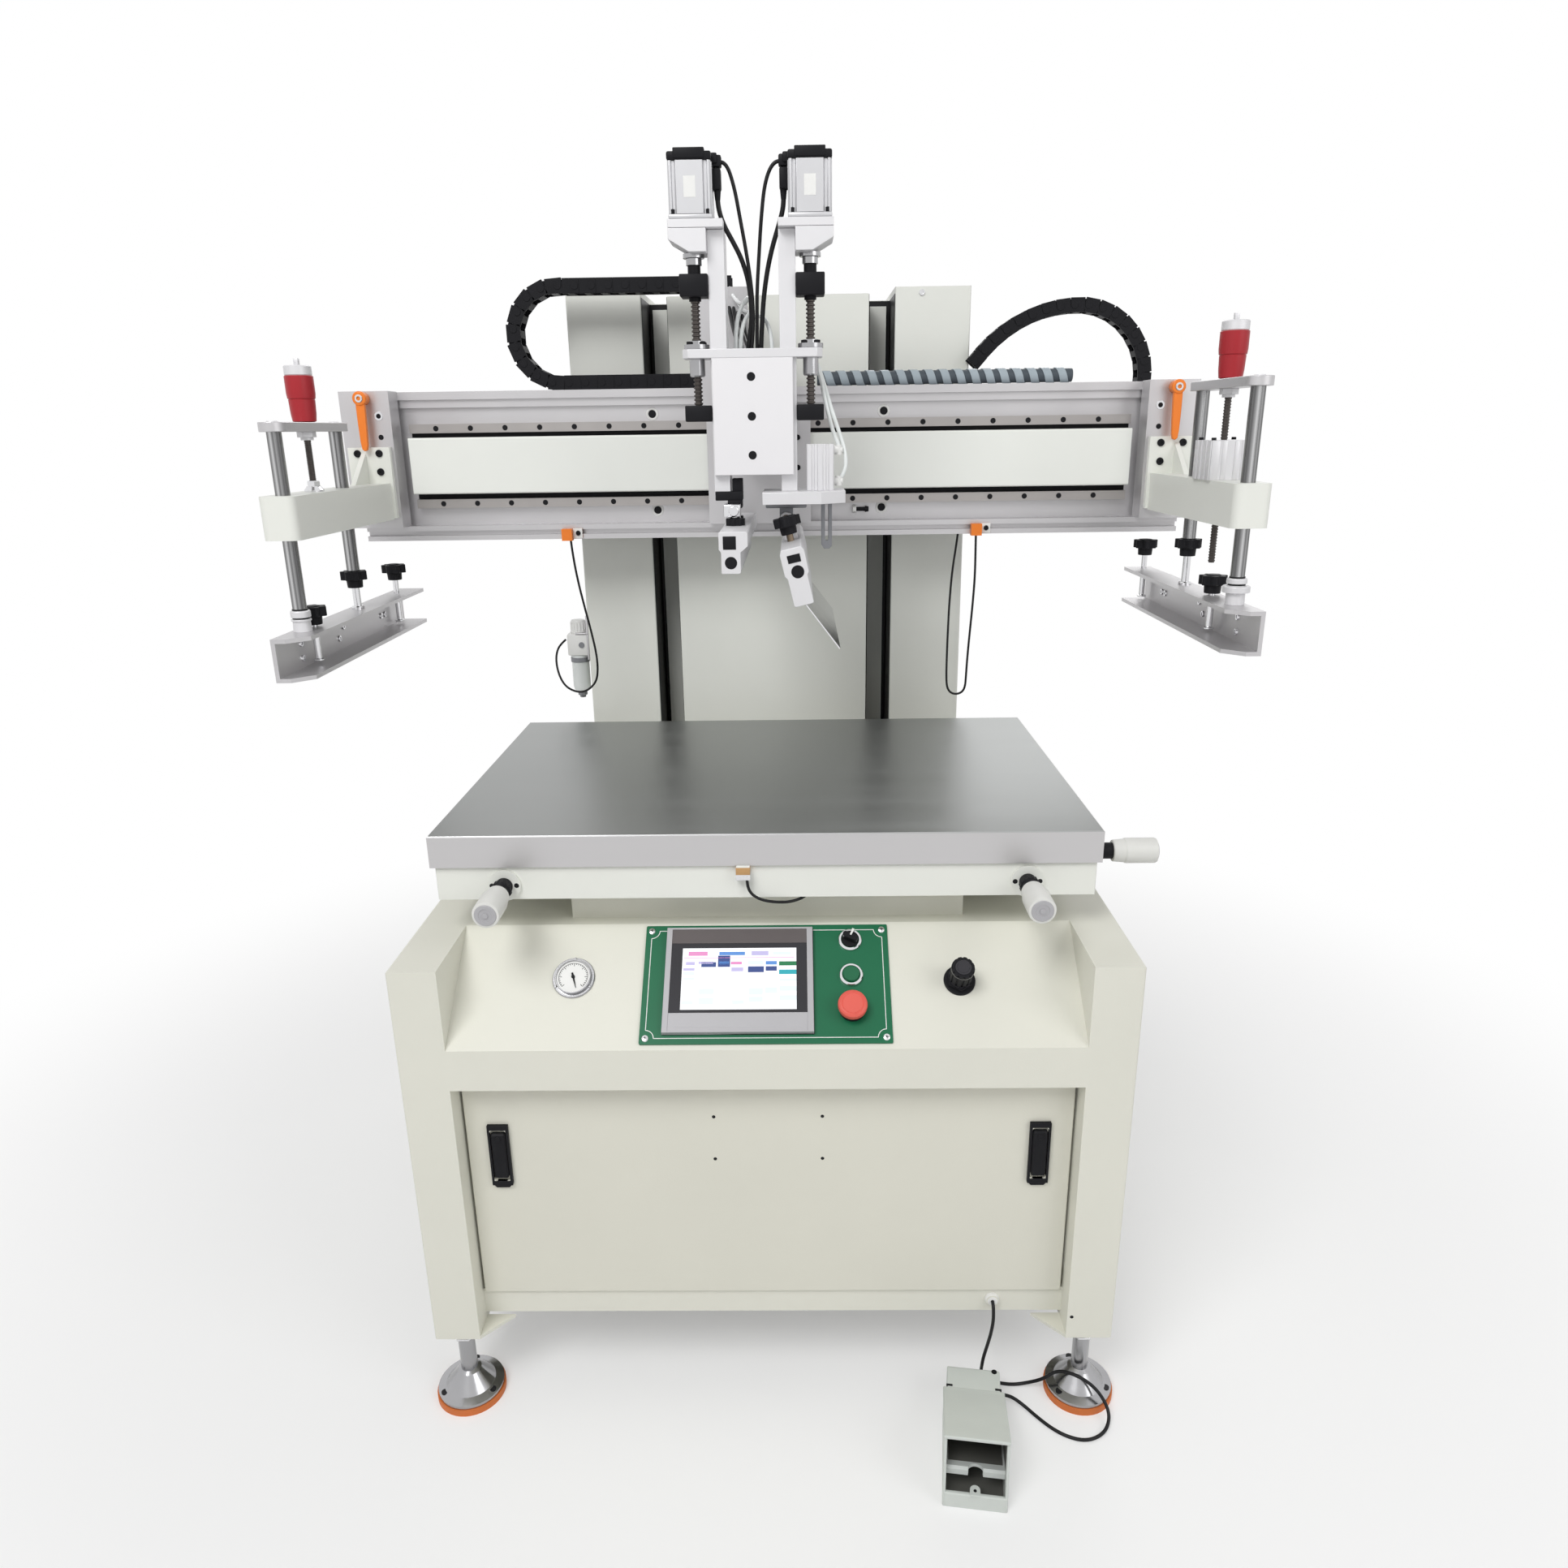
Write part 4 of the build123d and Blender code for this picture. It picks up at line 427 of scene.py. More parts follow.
def centreline(points):
    """Points along a cord's smooth line, in metres."""
    bare = curve_piece(points, "bare_line", "black_rubber", None, 0)
    mesh = bpy.data.meshes.new_from_object(bare)
    run = [tuple(v.co) for v in mesh.vertices]
    line = bare.data
    bpy.data.objects.remove(bare)
    bpy.data.curves.remove(line)
    bpy.data.meshes.remove(mesh)
    return run


def declare(points):
    """Works out the smooth line of a lead or hose through its points; nothing uses the line."""
    run = centreline(points)


def meshed(curve_object, name):
    """A curve turned into a mesh."""
    mesh = bpy.data.meshes.new_from_object(curve_object)
    curve_data = curve_object.data
    bpy.data.objects.remove(curve_object)
    bpy.data.curves.remove(curve_data)
    mesh.name = name
    obj = placed(name, mesh)
    return obj


left_lead = meshed(curve_piece(left_lead_points, "left_lead_route", "black_rubber", None, 2),
                   "left_sensor_lead_line")
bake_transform(left_lead)
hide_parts("left_sensor_lead")
declare(left_lead_points)


# Cable chains

def chain_link(bm, matrix, pitch, height, width):
    """One link: two overlapping side plates, two cross bars and a pin boss on each side."""
    wall, lip = 4.0, 2.5
    half = height / 2
    for side in (-1, 1):
        outer, inner = side * (width - wall) / 2, side * (width / 2 - wall)
        verts = box(bm, (-pitch * 0.62, outer - wall / 2, -half),
                    (pitch * 0.38, outer + wall / 2, half))
        verts += box(bm, (pitch * 0.28, inner - wall / 2, lip - half),
                     (pitch * 0.55, inner + wall / 2, half - lip))
        boss = rod(bm, (-pitch * 0.35, side * (width / 2 - 1), 0),
                   (-pitch * 0.35, side * (width / 2 + 0.8), 0), height * 0.27, sides=16)
        bmesh.ops.transform(bm, matrix=matrix, verts=verts + boss)
    for z in (-half, half - lip):
        verts = box(bm, (-pitch * 0.30, wall - width / 2, z),
                    (pitch * 0.12, width / 2 - wall, z + lip))
        bmesh.ops.transform(bm, matrix=matrix, verts=verts)


def cable_chain(name, spots, pitch, height, width, depth_y, cover):
    """Links along a route of (x, z, heading) spots, and the cables inside them."""
    bm = bmesh.new()
    for x, z, heading in spots:
        matrix = at(x, depth_y, z) @ Matrix.Rotation(-heading, 4, "Y")
        chain_link(bm, matrix, pitch, height, width)
    links = piece(bm, name, "black_plastic", None, edge=0.5, covers=(cover,))
    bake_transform(links)
    cables = bpy.data.curves.new(name + "_cable_route", "CURVE")
    cables.dimensions = "3D"
    cables.bevel_depth = 3.2 * MM
    for offset in (-9, -1.5, 6.5):
        line = cables.splines.new("POLY")
        line.points.add(len(spots) - 1)
        for point, (x, z, heading) in zip(line.points, spots):
            point.co = (x * MM, (depth_y + offset) * MM, z * MM, 1)
    route = placed(name + "_cable_route", cables, "black_rubber")
    inner = meshed(route, name + "_cables")
    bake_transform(inner)


def loop_spots(start_x, bend_x, low_z, radius, pitch):
    """Spots along a chain that runs back on itself: top run, half circle, bottom run."""
    run = start_x - bend_x
    total = 2 * run + math.pi * radius
    count = round(total / pitch)
    spots = []
    for i in range(count):
        s = (i + 0.5) * total / count
        if s < run:
            spots.append((start_x - s, low_z + 2 * radius, math.pi))
        elif s < run + math.pi * radius:
            turn = (s - run) / radius
            spots.append((bend_x - radius * math.sin(turn),
                          low_z + radius + radius * math.cos(turn), math.pi + turn))
        else:
            spots.append((bend_x + s - run - math.pi * radius, low_z, 0.0))
    return spots, total / count


def arch_spots(count, pitch, rise=24, drop=40):
    """Spots along a chain that rises from the column, arches over to the right and hangs down."""
    start_x, start_z, along, up = 361.1, 1477.5, 0.661, 0.75
    middle_x, left_z, right_z = 542, 1350, 1450
    left_radius, right_radius, left_turn = 220, 120, math.radians(48.6)
    left_end = rise + left_radius * left_turn
    right_end = left_end + right_radius * math.pi / 2
    spots = []
    for i in range(count):
        s = (i + 0.5) * pitch
        if s < rise:
            spots.append((start_x + along * s, start_z + up * s, math.atan2(up, along)))
        elif s < left_end:
            turn = left_turn - (s - rise) / left_radius
            spots.append((middle_x - left_radius * math.sin(turn),
                          left_z + left_radius * math.cos(turn), turn))
        elif s < right_end:
            turn = (s - left_end) / right_radius
            spots.append((middle_x + right_radius * math.sin(turn),
                          right_z + right_radius * math.cos(turn), -turn))
        elif s < right_end + drop:
            spots.append((middle_x + right_radius, right_z - (s - right_end), -math.pi / 2))
    return spots


carriage_spots, carriage_pitch = loop_spots(-62, -356, 1453.3, 76.75, 29)
cable_chain("carriage_chain_links", carriage_spots, carriage_pitch, 24, 39, 316,
            "carriage_chain")
LIFT_PITCH = 24.6        # from link to link, as in the chain's solid
cable_chain("lift_chain_links", arch_spots(22, LIFT_PITCH), LIFT_PITCH, 24, 31, 367.3,
            "lift_chain")


# Print head

SCREW_Y = -34                                   # both lift screws stand in one plane
SCREW_X = {"squeegee": -93, "flood": 69.5}
NUT_PLATE_LOW, NUT_PLATE_TOP = 1469, 1481
MOTOR_LOW = 1652                                # the top of the motors' flanges
CLAMP_REAR, CLAMP_LENGTH = 171, 360             # along Y, the same for both clamps


def thread(bm, x, y, low, high, radius, pitch, depth):
    """An upright threaded screw."""
    profile = [(0, low)]
    count = int((high - low) / pitch)
    for i in range(count):
        foot = low + i * pitch
        profile += [(radius - depth, foot), (radius - depth, foot + pitch * 0.35),
                    (radius, foot + pitch * 0.5), (radius, foot + pitch * 0.85)]
    profile += [(radius - depth, high), (0, high)]
    return turned(bm, profile, at(x, y, 0), sides=20)


MOTOR_OUTLINE = four_fold([(30, -18), (30, 18), (26.5, 20), (26.5, 23.5), (29, 24.5), (29, 27),
                           (27, 29), (24.5, 29), (23.5, 26.5), (20, 26.5)])


def motor(name, inner_side):
    """A servo motor on its flange, with a black rear cap and two plugs."""
    x, y, body = SCREW_X[name], SCREW_Y, name + "_unit"
    bm = bmesh.new()
    plate(bm, MOTOR_OUTLINE, 65, at(x, y, MOTOR_LOW))
    box(bm, (x - 30, y - 30, MOTOR_LOW - 6), (x + 30, y + 30, MOTOR_LOW), edge=1.5)
    piece(bm, name + "_motor_body", "motor_aluminium", body, edge=0.4, covers=(name + "_motor",))
    bm = bmesh.new()
    box(bm, (x - 30, y - 30, 1717), (x + 30, y + 30, 1728), edge=2.5)
    box(bm, (x - 21, y - 31, 1719), (x + 21, y + 31, 1732), edge=1.2)
    for dx in (-25, 25):
        for dy in (-25, 25):
            rod(bm, (x + dx, y + dy, MOTOR_LOW), (x + dx, y + dy, MOTOR_LOW + 6), 4.2, sides=16)
    plug_x = x + inner_side * 30
    box(bm, (plug_x - 7, y - 13, 1716), (plug_x + 7, y + 9, 1729), edge=2)
    for low, high, out, deep in ((1712, 1727, 13, 8), (1684, 1711, 12, 9)):
        near = x + inner_side * 29.5
        low_x, high_x = sorted((near, near + inner_side * out))
        box(bm, (low_x, y - deep - 2, low), (high_x, y + deep - 2, high), edge=2.5)
    cord_x = x + inner_side * 36
    rod(bm, (cord_x, y - 2, 1688), (cord_x, y - 2, 1672), 5.2, 3.6, sides=20)
    piece(bm, name + "_motor_cap", "black_plastic", body, edge=0.3)
    bm = bmesh.new()
    box(bm, (x - 8, y - 30.25, 1672), (x + 8, y - 30.02, 1698))
    piece(bm, name + "_motor_plate", "white_plastic", body)


def lift_slide(name, bar_x):
    """Bar, motor bracket, bearing blocks, coupling and screw of one lift unit."""
    screw_x, y, body = SCREW_X[name], SCREW_Y, name + "_unit"
    side = 1 if screw_x > bar_x else -1
    outer, inner = bar_x + side * 11.75, bar_x - side * 11.75
    edge_x = screw_x + side * 32
    bm = bmesh.new()
    box(bm, (bar_x - 11.75, -47.7, 1285.5), (bar_x + 11.75, 8.3, 1634.8))
    low_x, high_x = sorted((inner, edge_x))
    box(bm, (low_x, y - 30, 1635.2), (high_x, y + 30, 1646))
    gusset = [(outer, 1634.8), (edge_x, 1634.8), (edge_x, 1621), (outer + side * 24, 1605),
              (outer, 1605)]
    plate(bm, gusset, 60, front(0, y + 30, 0))
    piece(bm, name + "_bar_and_bracket", "milled_aluminium", body, slot="aluminium", edge=0.7,
          covers=(name + "_slide",))
    bm = bmesh.new()
    for size_x, size_y, low, high in ((40, 40, 1550, 1579), (37, 38, 1384, 1406)):
        low_x, high_x = sorted((outer, screw_x + side * size_x / 2))
        box(bm, (low_x, y - size_y / 2, low), (high_x, y + size_y / 2, high), edge=1.6)
    for low, high, radius in ((1579, 1591, 9), (1545, 1550, 8.5), (1550, 1583, 8.5)):
        rod(bm, (screw_x, y, low), (screw_x, y, high), radius, sides=28)
    piece(bm, name + "_bearing_blocks", "black_plastic", body, edge=0.3)
    bm = bmesh.new()
    for low, high, radius in ((1600, 1606, 15), (1591, 1600, 11)):
        rod(bm, (screw_x, y, low), (screw_x, y, high), radius)
    piece(bm, name + "_coupling", "dull_chrome", body, slot="chrome", edge=0.4)
    bm = bmesh.new()
    thread(bm, screw_x, y, 1405, 1551, 6.4, pitch=5.4, depth=1.7)
    piece(bm, name + "_screw", "dark_steel", body)


def nut_set():
    """The nut plate with a flanged nut for each lift screw, and the head plate's screws."""
    bm = bmesh.new()
    outline = [(-112, -52), (-104, -60), (78, -60), (86, -52), (86, -16), (78, -8), (49.4, -8),
               (49.4, -47.4), (25.1, -47.4), (25.1, -8), (-49.1, -8), (-49.1, -47.4),
               (-73.4, -47.4), (-73.4, -8), (-104, -8), (-112, -16)]
    plate(bm, outline, NUT_PLATE_TOP - NUT_PLATE_LOW, at(0, 0, NUT_PLATE_LOW))
    piece(bm, "nut_plate_body", "milled_aluminium", "carriage", slot="aluminium", edge=0.7,
          covers=("nut_plate",))
    bm = bmesh.new()
    for x in SCREW_X.values():
        turned(bm, [(6.3, 0), (17, 0), (18, 1), (18, 7), (11, 7), (11, 12), (6.3, 12), (6.3, 0)],
               at(x, SCREW_Y, NUT_PLATE_TOP), sides=36)
        turned(bm, [(6.3, 0), (11, 0), (11, -22), (9.5, -24), (6.3, -24), (6.3, 0)],
               at(x, SCREW_Y, NUT_PLATE_LOW), sides=32)
    piece(bm, "lift_nuts", "dull_chrome", "carriage", slot="chrome")
    bm = bmesh.new()
    for x in SCREW_X.values():
        for turn in (45, 135, 225, 315):
            cap_screw(bm, (*around(14.2, turn, x, SCREW_Y), NUT_PLATE_TOP + 7), (0, 0, 1), 3.6)
    for z in (1443.7, 1390.2, 1336.8):
        button_screw(bm, toward((-15.5, -60, z)), 2.6, 2.7, 5.6, 6.0, 0.2, 0.5, 28)
    for z in (1397.5, 1358.4, 1309.4):
        cap_screw(bm, (50, 238, z), FORWARD, 4.6)
    piece(bm, "head_screws", "black_plastic", "carriage")


MOTOR_LEADS = (
    ("squeegee", 2.6, [(-52, -36, 1719), (-44, -36, 1719), (-34, -34, 1690), (-27, -30, 1650),
                       (-19, -24, 1605), (-13, -16, 1560), (-12, -8, 1520), (-15, 0, 1490),
                       (-18, 6, 1470)]),
    ("squeegee", 3.4, [(-57, -36, 1676), (-57, -36, 1664), (-50, -34, 1642), (-38, -28, 1622),
                       (-26, -20, 1600), (-17, -12, 1570), (-14, -6, 1530), (-19, 2, 1495),
                       (-24, 8, 1470)]),
    ("flood", 2.6, [(28, -36, 1719), (20, -36, 1719), (8, -34, 1695), (2, -30, 1650),
                    (-2, -24, 1605), (-6, -16, 1560), (-7, -8, 1522), (-8, 0, 1490),
                    (-8, 6, 1470)]),
    ("flood", 3.4, [(33.5, -36, 1676), (33.5, -36, 1664), (28, -34, 1645), (17, -28, 1615),
                    (9, -20, 1585), (3, -12, 1550), (0, -6, 1515), (-2, 2, 1490), (-3, 8, 1470)]))


def motor_leads():
    """Two leads from each motor, gathered between the bars and clipped behind the nut plate."""
    for number, (unit, thick, points) in enumerate(MOTOR_LEADS):
        name = f"{unit}_motor_lead_{number}"
        route = curve_piece(points, name + "_route", "black_rubber", None, thick)
        lead = meshed(route, name)
        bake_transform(lead)
        declare(points)


def squeegee_holder():
    """The squeegee clamp: mounting blocks, star knob and the aluminium jaw."""
    x, y, z = -46, SCREW_Y, 1260
    bm = bmesh.new()
    box(bm, (x - 26, -50, 1273), (x + 14, -18, 1286), edge=1)
    box(bm, (x - 1, -46, 1284), (x + 14, -20, 1304), edge=1)
    box(bm, (x - 8, -52, 1262), (x + 13, -16, 1273.5), edge=1)
    piece(bm, "squeegee_mount_block", "black_plastic", "squeegee_unit", edge=0.3)
    bm = bmesh.new()
    for low, high in ((-52, -40.3), (-27.7, -16)):
        box(bm, (x - 12, low, 1243), (x + 10, high, 1268), edge=1.5)
    jaw = [(-14, -22), (-14, -44), (-11, -48), (-11, -76), (-9, -77), (14, -77), (16, -75),
           (16, -48), (26, -40), (26, -22), (24, -20), (-12, -20)]
    plate(bm, jaw, CLAMP_LENGTH, front(x, CLAMP_REAR, z))
    piece(bm, "squeegee_jaw", "milled_aluminium", "squeegee_bar", slot="aluminium", edge=0.6,
          covers=("squeegee_clamp",))
    bm = bmesh.new()
    rod(bm, (x, -55, z), (x, -13, z), 6, sides=24)
    hex_nut(bm, (x, -55, z), FORWARD, 9, 5)
    rod(bm, (x + 4, -84, 1262), (x + 4, -84, 1236), 4.5, sides=20)
    box(bm, (x - 12, -92, 1252), (x + 12, -62, 1270), edge=2)
    turned(bm, [(0, 0), (7.6, 0), (7.6, 5), (6.4, 6.4), (0, 6.4)], toward((x + 3, -91.5, 1261)),
           sides=28)
    piece(bm, "squeegee_pivot_bolt", "chrome", "squeegee_bar", edge=0.3)
    bm = bmesh.new()
    star(bm, at(x + 4, -84, 1240), 14, 10)
    rod(bm, (x + 2.5, -189.4, z - 62), (x + 2.5, -180, z - 62), 8.5, sides=28)
    box(bm, (x - 8, -189.6, z - 44), (x + 10, -188, z - 26), edge=0.5)
    cap_screw(bm, (x + 10, y, z - 13), (1, 0, 0), 3.4)
    piece(bm, "squeegee_knob_and_screws", "black_plastic", "squeegee_bar", edge=0.3)


def star(bm, matrix, radius, height, lobes=7):
    """A lobed hand knob with its neck down, about local Z."""
    steps = 84
    outline = []
    for turn in (360 * i / steps for i in range(steps)):
        reach = radius * (0.9 + 0.12 * math.cos(math.radians(lobes * turn)))
        outline.append(around(reach, turn))
    plate(bm, outline, height, matrix)
    turned(bm, [(0, 0), (radius * 0.62, 0), (radius * 0.58, -height * 0.9), (0, -height * 0.9)],
           matrix, sides=28)
    turned(bm, [(0, height), (radius * 0.55, height), (radius * 0.5, height + 1.2),
                (0, height + 1.2)], matrix, sides=28)


def flood_holder():
    """The flood bar clamp, tilted on its pivot, with its bolt and star knob."""
    x, z = 32, 1246
    tilt = at(x, 0, z) @ Matrix.Rotation(-math.radians(13), 4, "Y")
    bm = bmesh.new()
    jaw = [(-14, -30), (-17, -36), (-17, -66), (-14, -70), (-14, -108), (-12, -110), (12, -110),
           (14, -108), (14, -70), (17, -66), (17, -36), (14, -30)]
    plate(bm, jaw, CLAMP_LENGTH, tilt @ front(0, CLAMP_REAR, 0))
    lug = [(-10, -36), (10, -36), (10, 0), (7, 7), (0, 10), (-7, 7), (-10, 0)]
    for low, high in ((-50.3, -40.3), (-27.7, -17.7)):
        plate(bm, lug, high - low, tilt @ front(0, high, 0))
    piece(bm, "flood_jaw", "milled_aluminium", "flood_bar", slot="aluminium", edge=0.6,
          covers=("flood_clamp",))
    bm = bmesh.new()
    fresh = rod(bm, (0, -55, 0), (0, -13, 0), 6, sides=24)
    fresh += rod(bm, (0, -84, -4), (0, -84, -34), 5, sides=24)
    bmesh.ops.transform(bm, matrix=tilt, verts=fresh)
    piece(bm, "flood_pivot_bolt", "bronze", "flood_bar", slot="chrome", edge=0.3)
    bm = bmesh.new()
    star(bm, tilt @ at(0, -84, -8), 20, 13)
    fresh = rod(bm, (2, -189.4, -63), (2, -180, -63), 9, sides=28)
    fresh += box(bm, (-8, -189.8, -50), (10, -188, -39))
    bmesh.ops.transform(bm, matrix=tilt, verts=fresh)
    piece(bm, "flood_knob_and_screws", "black_plastic", "flood_bar", edge=0.3)


CYLINDER_OUTLINE = four_fold([(20, -8), (20, -4.5), (17.8, -3.5), (17.8, 3.5), (20, 4.5), (20, 8),
                              (18, 9), (18, 12), (20, 13), (20, 18.5), (18.5, 20), (13, 20),
                              (12, 18), (9, 18)])


def flood_carrier():
    """The flood bar's plate, air cylinder with fittings, height guide and pivot lug."""
    bm = bmesh.new()
    outline = [(-2, -84), (83, -84), (119, -58), (119, 20), (-2, 20)]
    plate(bm, outline, 17.5, at(0, 0, 1268))
    piece(bm, "flood_plate_body", "milled_aluminium", "flood_unit", slot="aluminium", edge=0.7,
          covers=("flood_plate",))
    bm = bmesh.new()
    plate(bm, CYLINDER_OUTLINE, 65, at(82.5, -24, 1285.6))
    piece(bm, "flood_cylinder", "milled_aluminium", "flood_unit", slot="aluminium", edge=0.2)
    bm = bmesh.new()
    rod(bm, (32, -40, 1246), (32, -28, 1246), 10, sides=32)
    box(bm, (22, -40, 1246), (42, -28, 1268.2))
    box(bm, (2, -62, 1262), (62, -6, 1268.2), edge=2)
    piece(bm, "flood_lug", "dark_anodised", "flood_unit", slot="aluminium", edge=0.5)
    bm = bmesh.new()
    outline = [(84, 1268), (84, 1206), (88, 1200), (96, 1200), (100, 1204), (100, 1268),
               (94.5, 1268), (94.5, 1212), (89.5, 1212), (89.5, 1268)]
    plate(bm, outline, 14, front(0, -18, 0))
    piece(bm, "flood_height_guide", "dark_anodised", "flood_unit", slot="aluminium", edge=0.4)
    bm = bmesh.new()
    for z in (1342, 1298):
        turned(bm, [(0, 0), (6, 0), (6, 7), (4.5, 8), (4.5, 13), (3.2, 14), (0, 14)],
               toward((102.5, -24, z), (1, 0, 0)), sides=24)
        rod(bm, (110, -24, z - 7), (110, -24, z + 7), 5.0, sides=20)
    piece(bm, "cylinder_fittings", "white_plastic", "flood_unit", edge=0.3)


motor("squeegee", 1)
motor("flood", -1)
lift_slide("squeegee", -61.25)
lift_slide("flood", 37.25)
nut_set()
motor_leads()
squeegee_holder()
flood_holder()
flood_carrier()


# Frame holders

HOLDER_X, HEIGHT_SCREW_Y = 672, -30
BLOCK_LOW, BLOCK_TOP = 1293.2, 1348     # the finned block on the right arm
LEVER_X, LEVER_Z = 677, 1430


def stadium(length, radius, steps=18):
    """The outline of a bar with round ends, its length along local Y."""
    outline = []
    for end, start in ((length / 2, 0), (-length / 2, 180)):
        outline += [around(radius, start + 180 * i / steps, 0, end) for i in range(steps + 1)]
    return outline


def frame_holder(name, side, plate_low, channel_low, screw_low, knob_low, studs, foot):
    """Guide rods, top plate, height screw and clamp screws of one frame holder.

    studs are the clamp screws' y; foot is the (radius, height) profile of the front rod's collar.
    """
    x, y_front, y_rear, y_screw = side * HOLDER_X, -136, 76, HEIGHT_SCREW_Y
    body = name + "_frame_holder"
    channel_top, plate_top = channel_low + 62, plate_low + 13
    foot_top = channel_top + foot[-1][1]
    knob_place = at(x, y_screw, plate_top)
    bm = bmesh.new()
    rod(bm, (x, y_front, foot_top), (x, y_front, plate_low), 10, sides=48)
    rod(bm, (x, y_rear, knob_low + 25.3), (x, y_rear, plate_low), 10, sides=48)
    piece(bm, name + "_guide_rods", "polished_steel", body, slot="chrome")
    bm = bmesh.new()
    plate(bm, stadium(212, 19), 13, at(x, y_screw, plate_low))
    piece(bm, name + "_top_plate", "aluminium", body, edge=0.9, covers=(name + "_holder",))

    bm = bmesh.new()
    hex_nut(bm, (x, y_screw, plate_low), (0, 0, -1), 13.5, 8)
    rod(bm, (x, y_screw, plate_low - 12), (x, y_screw, plate_low - 8), 9)
    for y in (y_front, y_rear):
        button_screw(bm, at(x, y, plate_top), 3.4, 3.6, 7.2, 8, 0.4, 1.6, 24)
    turned(bm, [(0, 0)] + foot + [(0, foot[-1][1])], at(x, y_front, channel_top), sides=36)
    piece(bm, name + "_collar_and_nut", "milled_aluminium", body, slot="aluminium", edge=0.4)
    bm = bmesh.new()
    for r, h in foot[:-1]:
        if r < 12.2:
            rod(bm, (x, y_front, channel_top + h - 1.2), (x, y_front, channel_top + h + 1.2),
                r + 0.25, sides=36)
    rod(bm, (x, y_front, foot_top), (x, y_front, foot_top + 2.2), 10.9, sides=36)
    piece(bm, name + "_seal_rings", "black_rubber", body)
    bm = bmesh.new()
    thread(bm, x, y_screw, screw_low, plate_low - 11, 5, pitch=2.6 if side < 0 else 4.2, depth=0.8)
    piece(bm, name + "_height_screw", "dark_steel", body)

    bm = bmesh.new()
    turned(bm, [(0, 0.4), (13.5, 0.4), (16.4, 1.6), (17.6, 12), (18.4, 31), (18.0, 31.6),
                (18.0, 32.2), (19.2, 33), (20, 40), (20, 63), (19.4, 64),
                (0, 64)], knob_place, sides=56)
    piece(bm, name + "_knob_grip", "red_plastic", name + "_knob", sharp=28,
          covers=(name + "_height_knob",))
    bm = bmesh.new()
    turned(bm, [(0, 64), (18.2, 64), (18.6, 65), (19, 65.4), (19, 76.6), (17.6, 78), (0, 78)],
           knob_place, sides=56)
    box(bm, (x - 3.4, y_screw - 3.4, plate_top + 78), (x + 3.4, y_screw + 3.4, plate_top + 88),
        edge=0.7)
    piece(bm, name + "_knob_cap", "milled_aluminium", name + "_knob", slot="chrome")

    bm = bmesh.new()
    for y, stand in zip(studs, (4, 24)):
        star(bm, at(x, y, channel_top + stand + 12), 20.5, 14)
    star(bm, at(x, y_rear, knob_low + 12), 20.5, 14)
    piece(bm, name + "_star_knobs", "black_plastic", body, edge=0.7,
          covers=(name + "_clamp_screws",))
    bm = bmesh.new()
    for y, stand in zip(studs, (4, 24)):
        rod(bm, (x, y, channel_low + 12), (x, y, channel_top + stand + 1), 4.9, sides=24)
        turned(bm, [(0, 0), (7.4, 0), (8, 0.8), (8, 2.6), (5, 4), (0, 4)],
               at(x, y, channel_low + 11), sides=28)
    rod(bm, (x, y_rear, channel_top), (x, y_rear, knob_low + 1), 6, sides=28)
    turned(bm, [(0, 0), (10, 0), (10, 3.4), (8.4, 5), (0, 5)], at(x, y_rear, channel_top), sides=28)
    for y, z in ((-124, 20), (-124, 42), (14, 24), (34, 40), (200, 30), (218, 30)):
        button_screw(bm, toward((side * 684, y, channel_low + z), (-side, 0, 0)),
                     2.4, 2.6, 4.6, 5.2, 0.9, 2.2, 24)
    piece(bm, name + "_studs", "chrome", body)


frame_holder("left", -1, 1378, 1040, 1245, 1137, (-96, 258),
             [(13, 0), (12.2, 15), (14, 15.4), (14, 18), (11.6, 18.4), (11.6, 20.4), (14, 20.8),
              (14, 29), (12.6, 30.5)])
frame_holder("right", 1, 1419, 1063, 1172, 1171, (-46, 296),
             [(13.4, 0), (13, 17), (19, 17.4), (19, 25.6), (17.6, 26.6), (12.4, 26.6),
              (11.8, 27.6), (11.8, 29.6), (14, 30), (14, 36), (12.6, 37.4)])


